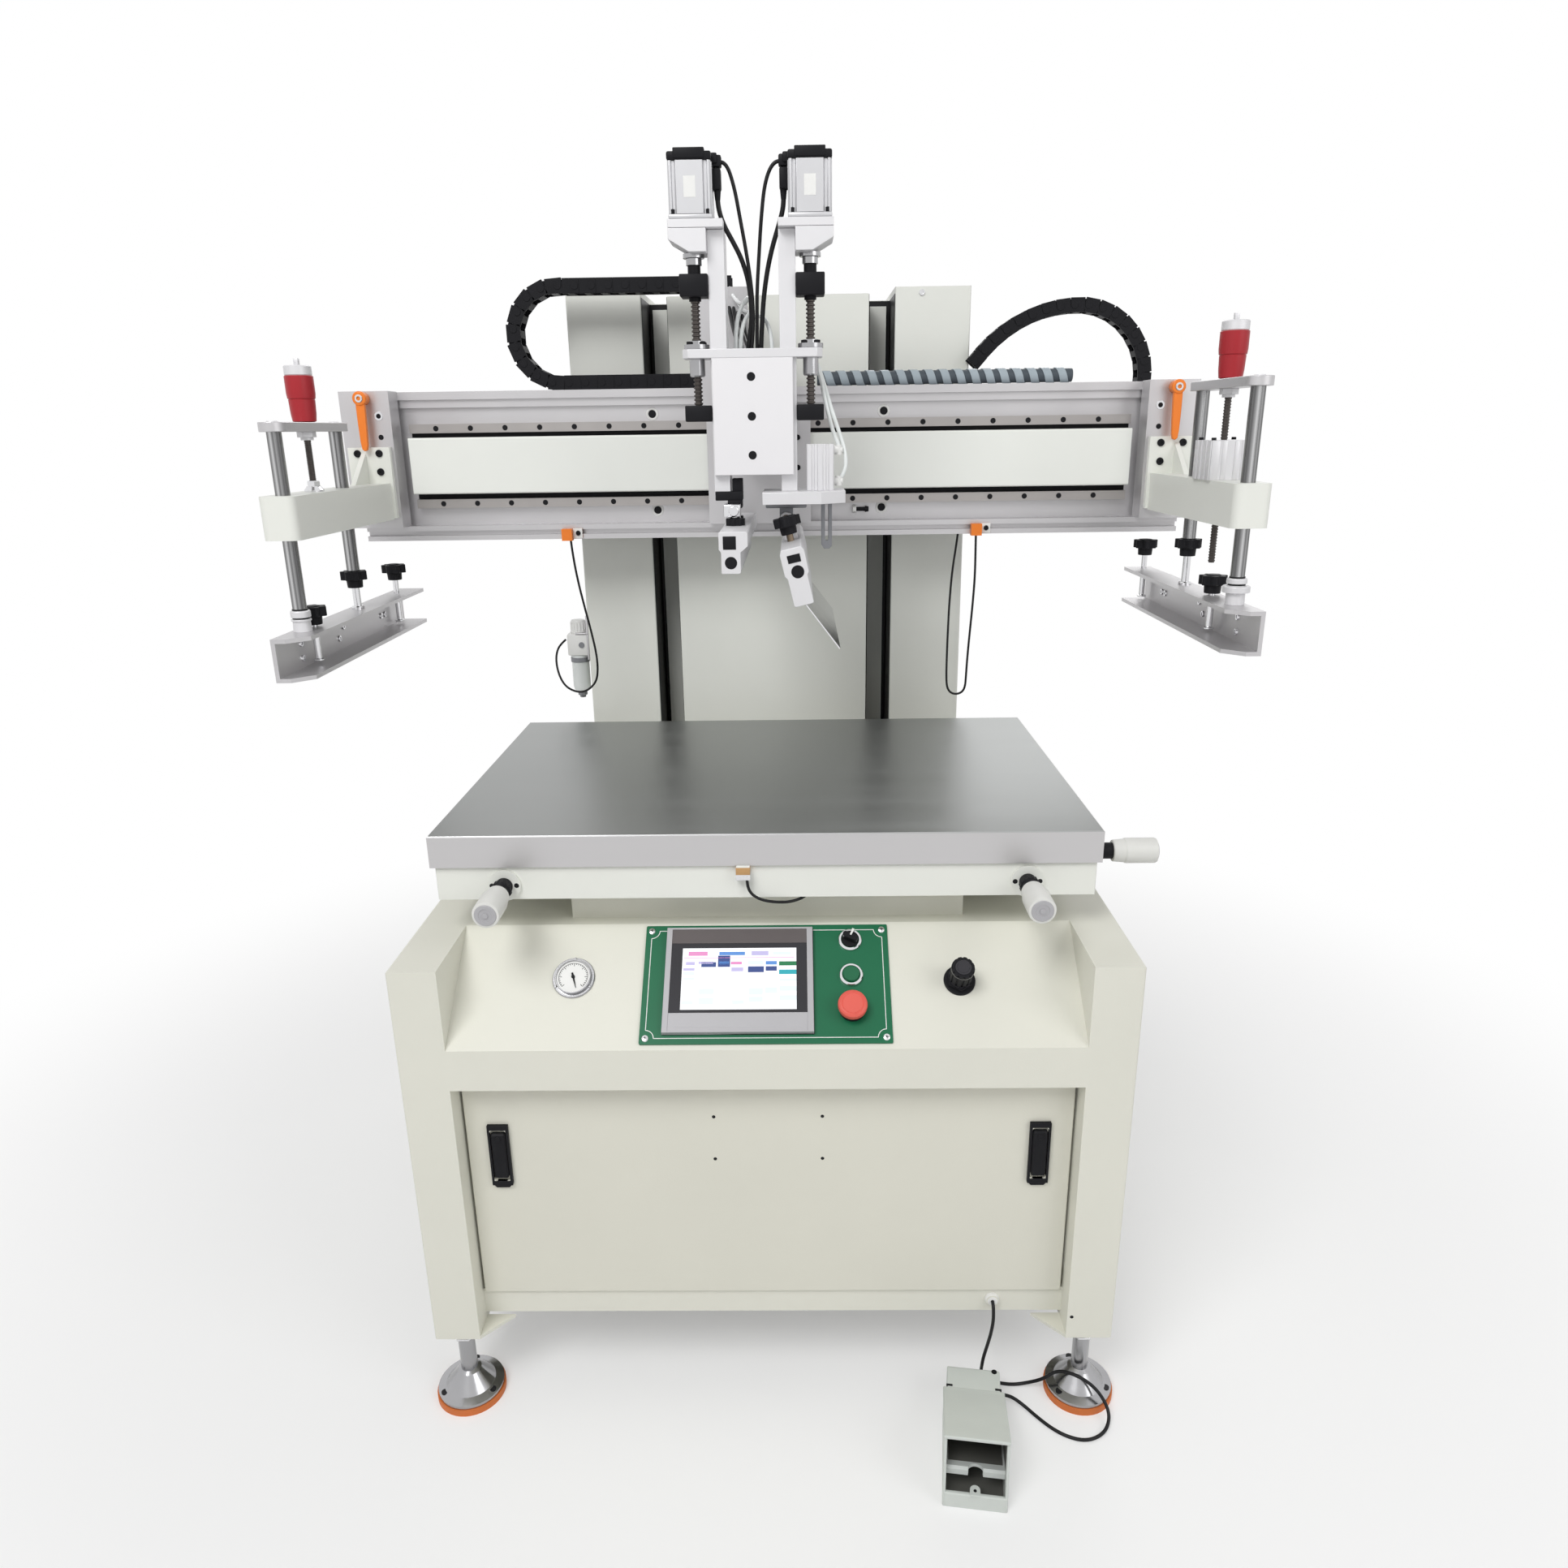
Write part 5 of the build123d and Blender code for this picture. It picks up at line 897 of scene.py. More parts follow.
def holder_arm_details():
    """Screws on the arms' flanges with dark discs of painted shade in their holes, the left arm's
    nut and the right arm's finned block.
    """
    bm = bmesh.new()
    for side in (-1, 1):
        for x, z in ((659, 1342), (696, 1342), (660, 1312)):
            button_screw(bm, toward((side * x, 219, z)), 2.6, 2.8, 5.6, 6.2, 0.8, 2.6, 28)
        # Dark discs of painted shade in the flanges' holes.
        for x, z, radius, height in ((656, 1368, 4.4, 0.25), (702, 1236, 4.0, 0.25),
                                     (702, 1262, 4.0, 0.25), (656, 1402, 4.0, 0.35)):
            disc(bm, toward((side * x, 229, z)), radius, height, 24)
    for x, y in ((648, -56), (696, -56), (648, -4), (696, -4)):
        cap_screw(bm, (x, y, BLOCK_TOP + 0.4), (0, 0, 1), 3.4)
    piece(bm, "bracket_screws_and_hole_shade", "black_plastic", "head_beam")
    bm = bmesh.new()
    for side in (-1, 1):
        turned(bm, [(3.6, 0), (7.4, 0), (7.0, 0.9), (4.0, 0.9), (3.6, 0)],
               toward((side * 656, 229, 1402)), sides=28)
    nut_place = at(-HOLDER_X, HEIGHT_SCREW_Y, 1293)
    turned(bm, [(5.4, 0), (14, 0), (14, 2.4), (10.4, 7), (10.4, 8), (5.4, 8), (5.4, 0)],
           nut_place, sides=32)
    turned(bm, [(5.4, 8), (9.6, 8), (9.6, 14.6), (8.6, 15.6), (5.4, 15.6), (5.4, 8)],
           nut_place, sides=6)
    piece(bm, "arm_nut_and_rings", "chrome", "head_beam")
    bm = bmesh.new()
    for low_x, high_x in ((643.4, 656), (660, 666.4), (677.6, 684), (688, 700.6)):
        box(bm, (low_x, -62.6, BLOCK_LOW), (high_x, -60.6, BLOCK_TOP), edge=0.3)
        box(bm, (low_x, 0.6, BLOCK_LOW), (high_x, 2.6, BLOCK_TOP), edge=0.3)
    for low_y, high_y in ((-62.6, -50), (-45, -35), (-25, -15), (-10, 2.6)):
        box(bm, (642, low_y, BLOCK_LOW), (644.4, high_y, BLOCK_TOP), edge=0.3)
        box(bm, (699.6, low_y, BLOCK_LOW), (702, high_y, BLOCK_TOP), edge=0.3)
    for low, high in (((643.6, -61.4), (644.2, 1.4)), ((699.8, -61.4), (700.4, 1.4)),
                      ((643.6, -61.6), (700.4, -60.9)), ((643.6, 0.9), (700.4, 1.6))):
        box(bm, (*low, BLOCK_LOW), (*high, BLOCK_TOP))
    for low, high in (((643.8, -61.2), (666, 1.2)), ((678, -61.2), (700.2, 1.2)),
                      ((666, -61.2), (678, -36)), ((666, -24), (678, 1.2))):
        box(bm, (*low, BLOCK_TOP - 0.2), (*high, BLOCK_TOP + 0.4))
    piece(bm, "arm_block_fins", "milled_aluminium", "head_beam", slot="aluminium")


def clamp_lever(name, side):
    """A cranked orange clamping lever with a steel pivot screw."""
    x, body = side * LEVER_X, name + "_clamp_lever"
    pivot = toward((x, 228.7, LEVER_Z))
    bm = bmesh.new()
    outline = [(-7, 6), (7, 6), (7.6, -12), (7.2, -40), (6.4, -70), (5, -81), (1, -84), (-3, -82),
               (-5, -74), (-6.2, -50), (-7, -20)]
    arm = plate(bm, [(side * u, v) for u, v in outline], 8, front(x, 213.7, LEVER_Z))
    for vert in arm:
        rise = min(1.0, max(0.0, (vert.co.z - LEVER_Z + 44) / 44))
        vert.co.y += 1.5 * rise
    turned(bm, [(0, 0), (9.4, 0), (10, 1), (10, 14), (11.6, 15.4), (11.6, 22.4), (10.2, 23.8),
                (0, 23.8)], pivot, sides=40)
    piece(bm, name + "_lever_body", "orange_plastic", body, edge=1.2, covers=(name + "_lever",))
    bm = bmesh.new()
    turned(bm, [(0, 23.4), (3.2, 23.4), (3.4, 25.6), (5.6, 25.6), (6.4, 24.8), (6.4, 22), (0, 22)],
           pivot, sides=28)
    piece(bm, name + "_lever_screw", "chrome", body)


holder_arm_details()
clamp_lever("left", -1)
clamp_lever("right", 1)


# Beam

RAIL_FACE, BEAM_FACE = 271, 286         # along Y
RINGED_HOLES = ((-201, 1400), (199, 1400), (-199, 1238.5), (197, 1238.5))
SWITCHES_X = (-355, 360)
BUNDLE_Y, BUNDLE_Z = 306, 1454


def beam_details():
    """Rail screws, dark strips of painted shade in the gaps beside the cover, ringed holes with
    dark discs of painted shade, the stop screw and the switches' plates.
    """
    bm = bmesh.new()
    for z in (1381, 1255):
        for i in range(20):
            disc(bm, toward((-574.6 + 60 * i, RAIL_FACE, z)), 4.6, 0.15, 20)
    # Dark discs of painted shade inside the ringed holes.
    for x, z in RINGED_HOLES:
        disc(bm, toward((x, BEAM_FACE, z)), 6.6, 0.2, 28)
    # Dark strips of painted shade in the gaps between the cover and the rails.
    for low, high in ((1366.4, 1373.3), (1262.7, 1271.7)):
        box(bm, (-621, 283.2, low), (621, BEAM_FACE - 0.2, high))
    rod(bm, (152, 279, 1236), (168, 279, 1236), 3.4, sides=20)
    rod(bm, (168, 279, 1236), (174, 279, 1236), 5.2, 4.2, sides=20)
    for x in SWITCHES_X:
        button_screw(bm, toward((x + 18, 252.2, 1203)), 2, 2, 4, 4.4, 0.8, 2, 20)
    piece(bm, "beam_screws_and_painted_shade", "black_plastic", "head_beam")
    bm = bmesh.new()
    for x, z in RINGED_HOLES:
        turned(bm, [(6.6, 0), (10.6, 0), (10.2, 0.8), (7.2, 0.8), (6.6, 0)],
               toward((x, BEAM_FACE, z)), sides=36)
    hex_nut(bm, (146, 279, 1236), (1, 0, 0), 6.6, 6)
    for x in SWITCHES_X:
        box(bm, (x + 9, 252.2, 1194.6), (x + 25.4, 253.1, 1211.4), edge=0.3)
    piece(bm, "beam_rings_and_plates", "white_plastic", "head_beam", slot="aluminium")


def spiral(bm, start, end, y, z, radius, pitch, width, thickness, steps=24):
    """A flat band wound around a straight line along X."""
    outer = radius + thickness
    count = int((end - width - start) / pitch * steps)
    rings = []
    for i in range(count + 1):
        turn = math.tau * i / steps
        x = start + pitch * i / steps
        corners = []
        for across, reach in ((0, radius), (width, radius), (width, outer), (0, outer)):
            corners.append(bm.verts.new((x + across, y + reach * math.cos(turn),
                                         z + reach * math.sin(turn))))
        rings.append(corners)
    for near, far in zip(rings, rings[1:]):
        for k in range(4):
            bm.faces.new((near[k], near[(k + 1) % 4], far[(k + 1) % 4], far[k]))
    bm.faces.new(rings[0])
    bm.faces.new(rings[-1])


def hose_bundle():
    """Dark hoses in a pale spiral wrap, lying on the beam."""
    bm = bmesh.new()
    rod(bm, (84.5, BUNDLE_Y, BUNDLE_Z), (523.5, BUNDLE_Y, BUNDLE_Z), 11.2)
    piece(bm, "bundle_hoses", "bundle_rubber", "head_beam", slot="striped_plastic", edge=1.5,
          covers=("hose_bundle",))
    bm = bmesh.new()
    spiral(bm, 86, 522, BUNDLE_Y, BUNDLE_Z, 11.3, 25, 14, 1.6)
    piece(bm, "bundle_wrap", "striped_plastic", "head_beam", edge=0.4)


beam_details()
hose_bundle()


# Air hoses at the print head

CYLINDER_HOSES = (
    [(78, -2, 1462), (84, -4, 1445), (90, -9, 1415), (97, -15, 1385), (104, -21, 1362),
     (109, -24, 1352), (110, -24, 1346)],
    [(80, 2, 1462), (88, 0, 1440), (98, -6, 1405), (110, -14, 1370), (120, -21, 1340),
     (121, -24, 1318), (116, -24, 1306), (111, -24, 1300)])
HEAD_HOSES = (
    ("black_rubber", 2.6, [(-18, 6, 1470), (-18, 12, 1470), (-22, 40, 1474), (-30, 110, 1482),
                           (-44, 190, 1520), (-54, 240, 1566), (-60, 290, 1596)]),
    ("black_rubber", 3.4, [(-24, 8, 1470), (-25, 16, 1470), (-30, 46, 1475), (-38, 120, 1486),
                           (-52, 196, 1526), (-62, 246, 1570), (-68, 294, 1598)]),
    ("black_rubber", 2.6, [(-8, 6, 1470), (-8, 14, 1470), (-12, 50, 1473), (-20, 120, 1480),
                           (-36, 190, 1515), (-48, 244, 1562), (-54, 296, 1592)]),
    ("black_rubber", 3.4, [(-3, 8, 1470), (-3, 18, 1470), (-6, 60, 1473), (-12, 130, 1480),
                           (-30, 196, 1510), (-42, 248, 1560), (-48, 298, 1590)]),
    ("clear_plastic", 3, [(-38, 4, 1468), (-40, 4, 1490), (-36, 8, 1530), (-24, 14, 1552),
                          (-20, 30, 1556), (-26, 70, 1552), (-40, 160, 1560), (-56, 250, 1584),
                          (-62, 300, 1600)]),
    ("clear_plastic", 3, [(-32, 2, 1468), (-33, 2, 1486), (-28, 4, 1520), (-16, 12, 1536),
                          (-12, 30, 1540), (-18, 80, 1540), (-34, 170, 1550), (-50, 250, 1578),
                          (-56, 300, 1598)]),
    ("clear_plastic", 3, [(14, 4, 1468), (14, 4, 1488), (10, 8, 1514), (2, 16, 1528),
                          (-6, 40, 1532), (-14, 90, 1534), (-32, 176, 1548), (-46, 252, 1574),
                          (-52, 304, 1594)]))


def head_hoses():
    """Clear hoses to the cylinder, and the leads' way back over the arm to the cable chain."""
    for number, points in enumerate(CYLINDER_HOSES):
        name = f"cylinder_hose_{number}"
        route = curve_piece(points, name + "_route", "clear_plastic", None, 3)
        hose = meshed(route, name)
        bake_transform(hose)
        declare(points)
    for number, (look, thick, points) in enumerate(HEAD_HOSES):
        hose = curve_piece(points, f"head_hose_{number}", look, "carriage", thick)
        run = centreline(points)


head_hoses()


# Console

SLOPE = at(0, -457, 600) @ Matrix.Rotation(math.atan2(116, 140), 4, "X")
BUTTON_X, SELECTOR_Y, START_Y, STOP_Y = 115, 153, 101.5, 54
BORDER_X, BORDER_Y = 159, 77            # half the white border, about the plate's middle
PLATE_Y = 92                            # the middle of the control plate
PLATE_SCREWS = [(x, y) for x in (-BORDER_X, BORDER_X) for y in (PLATE_Y - 77, PLATE_Y + 77)]


def lay(bm, name, look, body, **more):
    """Turns a mesh drawn flat onto the console's slope, and finishes it."""
    bmesh.ops.transform(bm, matrix=SLOPE, verts=bm.verts)
    return piece(bm, name, look, body, **more)


def window_frame(bm, outer, inner, low, high, matrix=None):
    """A flat frame between two rectangles, each given as (x0, y0, x1, y1)."""
    rings = []
    for x0, y0, x1, y1 in (outer, inner):
        for z in (low, high):
            rings.append([bm.verts.new(c) for c in ((x0, y0, z), (x1, y0, z), (x1, y1, z),
                                                    (x0, y1, z))])
    outer_low, outer_high, inner_low, inner_high = rings
    for near, far in ((outer_low, outer_high), (outer_high, inner_high), (inner_high, inner_low),
                      (inner_low, outer_low)):
        for k in range(4):
            bm.faces.new((near[k], near[(k + 1) % 4], far[(k + 1) % 4], far[k]))
    if matrix:
        bmesh.ops.transform(bm, matrix=matrix, verts=[v for loop in rings for v in loop])


def band(inner, outer, start, end, steps=10):
    """The outline of a flat arc, its angles in degrees."""
    turns = [start + (end - start) * i / steps for i in range(steps + 1)]
    return ([around(outer, turn) for turn in turns]
            + [around(inner, turn) for turn in reversed(turns)])


def control_plate_details():
    """White border line, corner screws and the rings around the buttons."""
    bm = bmesh.new()
    for side in (-1, 1):
        line_x, line_y = side * BORDER_X, PLATE_Y + side * BORDER_Y
        box(bm, (line_x - 0.5, PLATE_Y - 66, 2.9), (line_x + 0.5, PLATE_Y + 66, 3.15))
        box(bm, (-148, line_y - 0.5, 2.9), (148, line_y + 0.5, 3.15))
    for x, y, start in ((1, 1, 180), (-1, 1, 270), (-1, -1, 0), (1, -1, 90)):
        plate(bm, band(10.5, 11.5, start, start + 90), 0.25,
              at(x * BORDER_X, PLATE_Y + y * BORDER_Y, 2.9))
    lay(bm, "plate_border_line", "white_plastic", "stand")
    bm = bmesh.new()
    for spot in PLATE_SCREWS:
        turned(bm, [(0, 1.6), (2.4, 1.7), (4.2, 1.1), (4.9, 0), (0, 0)], at(*spot, 3), sides=28)
    for y, top in ((SELECTOR_Y, 7.5), (START_Y, 8.5)):
        turned(bm, [(11.9, 2.9), (15.8, 2.9), (15.8, top - 0.9), (14.9, top), (12.6, top),
                    (11.9, top - 0.6), (11.9, 2.9)], at(BUTTON_X, y), sides=48)
    lay(bm, "plate_screws_and_rings", "chrome", "stand")
    bm = bmesh.new()
    for x, y in PLATE_SCREWS:
        box(bm, (x - 2.2, y - 0.5, 4), (x + 2.2, y + 0.5, 4.75))
        box(bm, (x - 0.5, y - 2.2, 4), (x + 0.5, y + 2.2, 4.75))
    turned(bm, [(11.9, 2.9), (17.6, 2.9), (17.6, 8.6), (17, 9.2), (11.9, 9.2), (11.9, 2.9)],
           at(BUTTON_X, STOP_Y), sides=48)
    lay(bm, "screw_slots_and_stop_collar", "black_plastic", "stand")


def buttons():
    """The stop button's mushroom head, the start button's rim and the selector's pointer."""
    bm = bmesh.new()
    turned(bm, [(0, 4.5), (11, 4.5), (11, 14), (18.6, 14), (19.5, 15.2), (19.7, 20), (19, 22.6),
                (17.2, 24.2), (15.2, 24.8), (14.6, 24.3), (13.8, 24.3), (13.2, 24.9),
                (0, 25)], at(BUTTON_X, STOP_Y), sides=64)
    lay(bm, "stop_button_head", "stop_red", "stop", slot="red_plastic", covers=("stop_button",))
    bm = bmesh.new()
    turned(bm, [(0, 9.6), (8.6, 9.6), (9.3, 10.4), (9.3, 11), (10.4, 11), (10.4, 8.6), (0, 8.6)],
           at(BUTTON_X, START_Y, 0.6), sides=48)
    lay(bm, "start_button_rim", "green_plastic", "start")
    bm = bmesh.new()
    pointer = at(BUTTON_X, SELECTOR_Y) @ Matrix.Rotation(math.radians(-25), 4, "Z")
    plate(bm, [(-1.1, 1), (1.1, 1), (1.7, 10.4), (-1.7, 10.4)], 0.5, pointer @ at(0, 0, 20.1))
    plate(bm, [(-1.7, 10.3), (1.7, 10.3), (1.7, 10.9), (-1.7, 10.9)], 9, pointer @ at(0, 0, 11.6))
    lay(bm, "selector_pointer", "white_plastic", "selector")


TILES = {
    "navy": ((-88, 112, -68, 119), (-65.5, 112, -49, 128.5), (-24.5, 104, -3, 112.5),
             (-0.5, 106, 14.5, 112.5)),
    "blue": ((-64, 129, -29, 134), (-0.5, 115, 14.5, 120), (-64, 115.2, -50.5, 120)),
    "pink": ((-106, 128.5, -80, 134.5), (-112, 125, 38, 125.7), (-48, 115.5, -33, 119.5)),
    "teal": ((17.5, 101, 41, 107.5),),
    "green": ((17.5, 113.5, 41, 119.5),),
    "lilac": ((-20, 128.5, 3, 135), (-109, 115, -97, 119.5), (-92, 116.5, -72, 120),
              (-112, 107, -97, 110.5), (-47, 105.5, -31, 111)),
    "pale": ((-25, 115, -3.5, 120.5), (-112, 100.5, -97, 105.5), (9, 129.5, 34, 133.5),
             (18, 91, 41, 95), (18, 77, 41, 84), (18, 64, 41, 71), (-1, 74, 15, 82),
             (-23, 72, -4, 81), (-23, 62, -4, 69), (-45, 59, -29, 64), (-90, 59, -70, 68),
             (-90, 73, -70, 81), (-113, 59, -97, 64), (-112, 93, -97, 97)),
}


def operator_screen():
    """The touch screen: silver bezel with a dark top band of painted shadow, dark glass border, and
    a bright page of plain tiles.
    """
    bm = bmesh.new()
    window_frame(bm, (-137, 20, 63.5, 170), (-129.4, 22, 55.4, 167.5), 3, 12)
    window_frame(bm, (-130, 21.5, 56, 47), (-121, 26.2, 47, 26.8), 3, 11.2)
    box(bm, (-130, 22, 3), (56, 46.8, 11.1))
    lay(bm, "screen_bezel", "silver_plastic", "stand", slot="screen_plastic", edge=0.8,
        covers=("operator_screen",))
    # Painted shadow: the table's shade on the bezel's top band, drawn as a dark band.
    bm = bmesh.new()
    box(bm, (-129.6, 146.8, 3), (55.6, 167.6, 11.1))
    lay(bm, "screen_bezel_painted_shadow", "screen_plastic", "stand", edge=0.4)
    bm = bmesh.new()
    box(bm, (-129.6, 46.6, 3), (55.6, 147, 10.4))
    box(bm, (-137.8, 19.2, 2.9), (64.3, 170.8, 4.6), edge=0.4)
    lay(bm, "screen_glass_border", "gloss_black", "stand", slot="screen_plastic")
    bm = bmesh.new()
    box(bm, (-114, 51.5, 10), (41, 139.5, 10.6))
    lay(bm, "screen_page", "screen_white", "stand", slot="screen_plastic")
    for name, spots in TILES.items():
        bm = bmesh.new()
        for x0, y0, x1, y1 in spots:
            box(bm, (x0, y0, 10.5), (x1, y1, 10.68))
        lay(bm, "screen_tiles_" + name, "screen_" + name, "stand", slot="screen_plastic")


def gauge_and_regulator():
    """The pressure gauge's flange, dial and needle, and the regulator's nut and knob rings."""
    x, y = -262, 101.5
    bm = bmesh.new()
    turned(bm, [(0, 0), (29, 0), (29, 1.8), (28, 3), (25, 3), (24.8, 7), (24, 8), (22.9, 8),
                (22.4, 5), (0, 5), (0, 0)], at(x, y), sides=64)
    for turn in (-30, 90, 210):
        turned(bm, [(0, 1.3), (1.4, 1.3), (2.1, 0.5), (2.1, 0), (0, 0)],
               at(*around(26.9, turn, x, y), 3), sides=20)
    lay(bm, "gauge_body", "dull_chrome", "stand", slot="chrome", covers=("gauge_and_nut",))
    bm = bmesh.new()
    rod(bm, (x, y, 4.9), (x, y, 5.2), 22.3, sides=56)
    lay(bm, "gauge_dial", "white_plastic", "stand", slot="chrome")
    bm = bmesh.new()
    for i in range(31):
        turn = at(x, y, 5.15) @ Matrix.Rotation(math.radians(225 - 9 * i), 4, "Z")
        inner = 15.5 if i % 5 == 0 else 17.6
        plate(bm, [(inner, -0.35), (19.6, -0.35), (19.6, 0.35), (inner, 0.35)], 0.2, turn)
    plate(bm, band(19.4, 19.9, -45, 225, 40), 0.2, at(x, y, 5.15))
    needle = at(x, y, 6) @ Matrix.Rotation(math.radians(-72), 4, "Z")
    plate(bm, [(-6, -1.2), (-2, -1.5), (17, -0.3), (17, 0.3), (-2, 1.5), (-6, 1.2)], 0.4, needle)
    rod(bm, (x, y, 5.2), (x, y, 6.9), 2.4, sides=24)
    lay(bm, "gauge_marks_and_needle", "black_plastic", "stand", slot="chrome")
    bm = bmesh.new()
    x, y = 261, 94
    turned(bm, [(0, 0), (21.5, 0), (21.5, 2), (20.6, 2.8), (0, 2.8)], at(x, y), sides=48)
    rod(bm, (x, y, 0), (x, y, 9), 18, sides=6)
    lay(bm, "regulator_nut", "black_plastic", "stand", slot="chrome", edge=0.8)
    bm = bmesh.new()
    turned(bm, [(0, 45), (10.6, 45), (10.6, 46.3), (9.8, 46.9), (8.4, 46.9), (7.8, 46.3),
                (0, 46.3)], at(x, y), sides=48)
    ring(bm, at(x, y), 14.9, 15.7, 11, 14.4)
    ring(bm, at(x, y), 14.9, 15.6, 39.5, 42)
    lay(bm, "regulator_rings", "gloss_black", "regulator", slot="black_plastic")


control_plate_details()
buttons()
operator_screen()
gauge_and_regulator()


# Cabinet and column

LATCH_X, LATCH_Z = 373, 418
COLUMN_FACE, SLOT_LOW, SLOT_TOP = 387, 716.5, 1596
FEET = [(x, y) for x in (-454.5, 454.5) for y in (-424, 576)]


def cabinet_details():
    """Latch frames, dark discs of painted shade in the holes in panel and leg, and the cord's
    grommet.
    """
    bm = bmesh.new()
    for side in (-1, 1):
        x = side * LATCH_X
        window_frame(bm, (-14.4, -48.4, 14.4, 48.4), (-11, -41, 11, 41), -5, 0.6,
                     front(x, -430, LATCH_Z))
        plate(bm, [(-13, -48), (13, -48), (9, -52.5), (-9, -52.5)], 4, front(x, -425.6, LATCH_Z))
        rod(bm, (x, -426, LATCH_Z + 28), (x, -433.2, LATCH_Z + 28), 4.4, sides=24)
    piece(bm, "latch_frames", "black_plastic", "stand", edge=0.6)
    bm = bmesh.new()
    # Dark discs of painted shade in the holes in the panel and the leg.
    for x in (-74.5, 74.5):
        for z in (408, 476):
            rod(bm, (x, -424.9, z), (x, -425.15, z), 2.5, sides=20)
    rod(bm, (428, -456.8, 163), (428, -457.2, 163), 2.6, sides=20)
    piece(bm, "panel_hole_shade", "black_rubber", "stand", slot="black_plastic")
    bm = bmesh.new()
    turned(bm, [(2.7, 0), (10.4, 0), (10.4, 2.4), (9.2, 5), (6.4, 6.4), (2.7, 6.4), (2.7, 0)],
           toward((320.7, -420, 162)), sides=40)
    piece(bm, "cord_grommet", "white_plastic", "stand", slot="cream_paint")


def column_details():
    """Dark liners of the two slots, and the screw at the column's top."""
    bm = bmesh.new()
    for side in (-1, 1):
        for near in (178.2, 223.2):
            low, high = sorted((side * near, side * (near + 0.6)))
            box(bm, (low, COLUMN_FACE, SLOT_LOW), (high, 505.8, SLOT_TOP))
        low, high = sorted((side * 178.4, side * 223.6))
        box(bm, (low, 505.2, SLOT_LOW), (high, 505.9, SLOT_TOP))
    piece(bm, "slot_liners", "black_rubber", "stand", slot="dark_steel")
    bm = bmesh.new()
    turned(bm, [(0, 0.9), (2.2, 0.9), (2.5, 2.2), (4.6, 2.2), (5.4, 1.2), (5.4, 0), (0, 0)],
           toward((271, COLUMN_FACE - 1, 1597)), sides=28)
    piece(bm, "column_screw", "chrome", "stand")


def air_filter():
    """The filter regulator on the column's side: bracket, head, clear bowl and drain."""
    x, y = -380, 408
    bm = bmesh.new()
    box(bm, (-361.5, y - 22, 950), (-357.3, y + 22, 1036), edge=1)
    box(bm, (x - 3, y - 22.4, 1000), (-358, y + 20, 1003), edge=1)
    box(bm, (-400, y - 7, 966), (-396.5, y + 7, 986), edge=0.8)
    piece(bm, "filter_bracket", "aluminium", "stand", edge=0.4)
    bm = bmesh.new()
    box(bm, (x - 20, y - 20, 958), (x + 20, y + 20, 1000), edge=3)
    turned(bm, [(0, 1000), (15, 1000), (15.6, 1001), (15.6, 1004), (14.2, 1005), (14.2, 1022),
                (13, 1025), (6, 1026), (0, 1026)], at(x, y), sides=48)
    for i in range(16):
        spot = around(14.2, 22.5 * i, x, y)
        rod(bm, (*spot, 1006), (*spot, 1021), 1.3, sides=8)
    piece(bm, "filter_head", "white_plastic", "stand", covers=("air_filter",))
    bm = bmesh.new()
    turned(bm, [(0, 884), (9, 884), (15, 888), (17, 895), (17, 950), (17.6, 951), (17.6, 958),
                (0, 958)], at(x, y), sides=48)
    piece(bm, "filter_bowl", "clear_plastic", "stand", slot="white_plastic")
    bm = bmesh.new()
    turned(bm, [(0, 872), (5.5, 872), (6, 873), (6, 876), (9, 877), (9, 884.4), (0, 884.4)],
           at(x, y), sides=32)
    ring(bm, at(x, y), 17.2, 18.4, 944, 953)
    rod(bm, (x + 8, y - 20, 979), (x + 8, y - 21.6, 979), 5.6, sides=24)
    piece(bm, "filter_drain_and_ring", "dark_anodised", "stand", slot="white_plastic")


def feet_details():
    """Dark discs of painted shade in the bells' holes, and the lock nuts on the stems."""
    bm = bmesh.new()
    # Dark discs of painted shade in the holes in the bells.
    for x, y in FEET:
        for turn in (-25, 95, 215):
            disc(bm, at(*around(40.5, turn, x, y), 16), 5, 3.1, 24)
    piece(bm, "foot_hole_shade", "black_rubber", "stand", slot="black_plastic")
    bm = bmesh.new()
    for spot in FEET:
        turned(bm, [(11.9, 104), (17.5, 104), (17.5, 107), (15, 108), (15, 126), (11.9, 126),
                    (11.9, 104)], at(*spot), sides=6)
    piece(bm, "foot_lock_nuts", "chrome", "stand", edge=0.5)


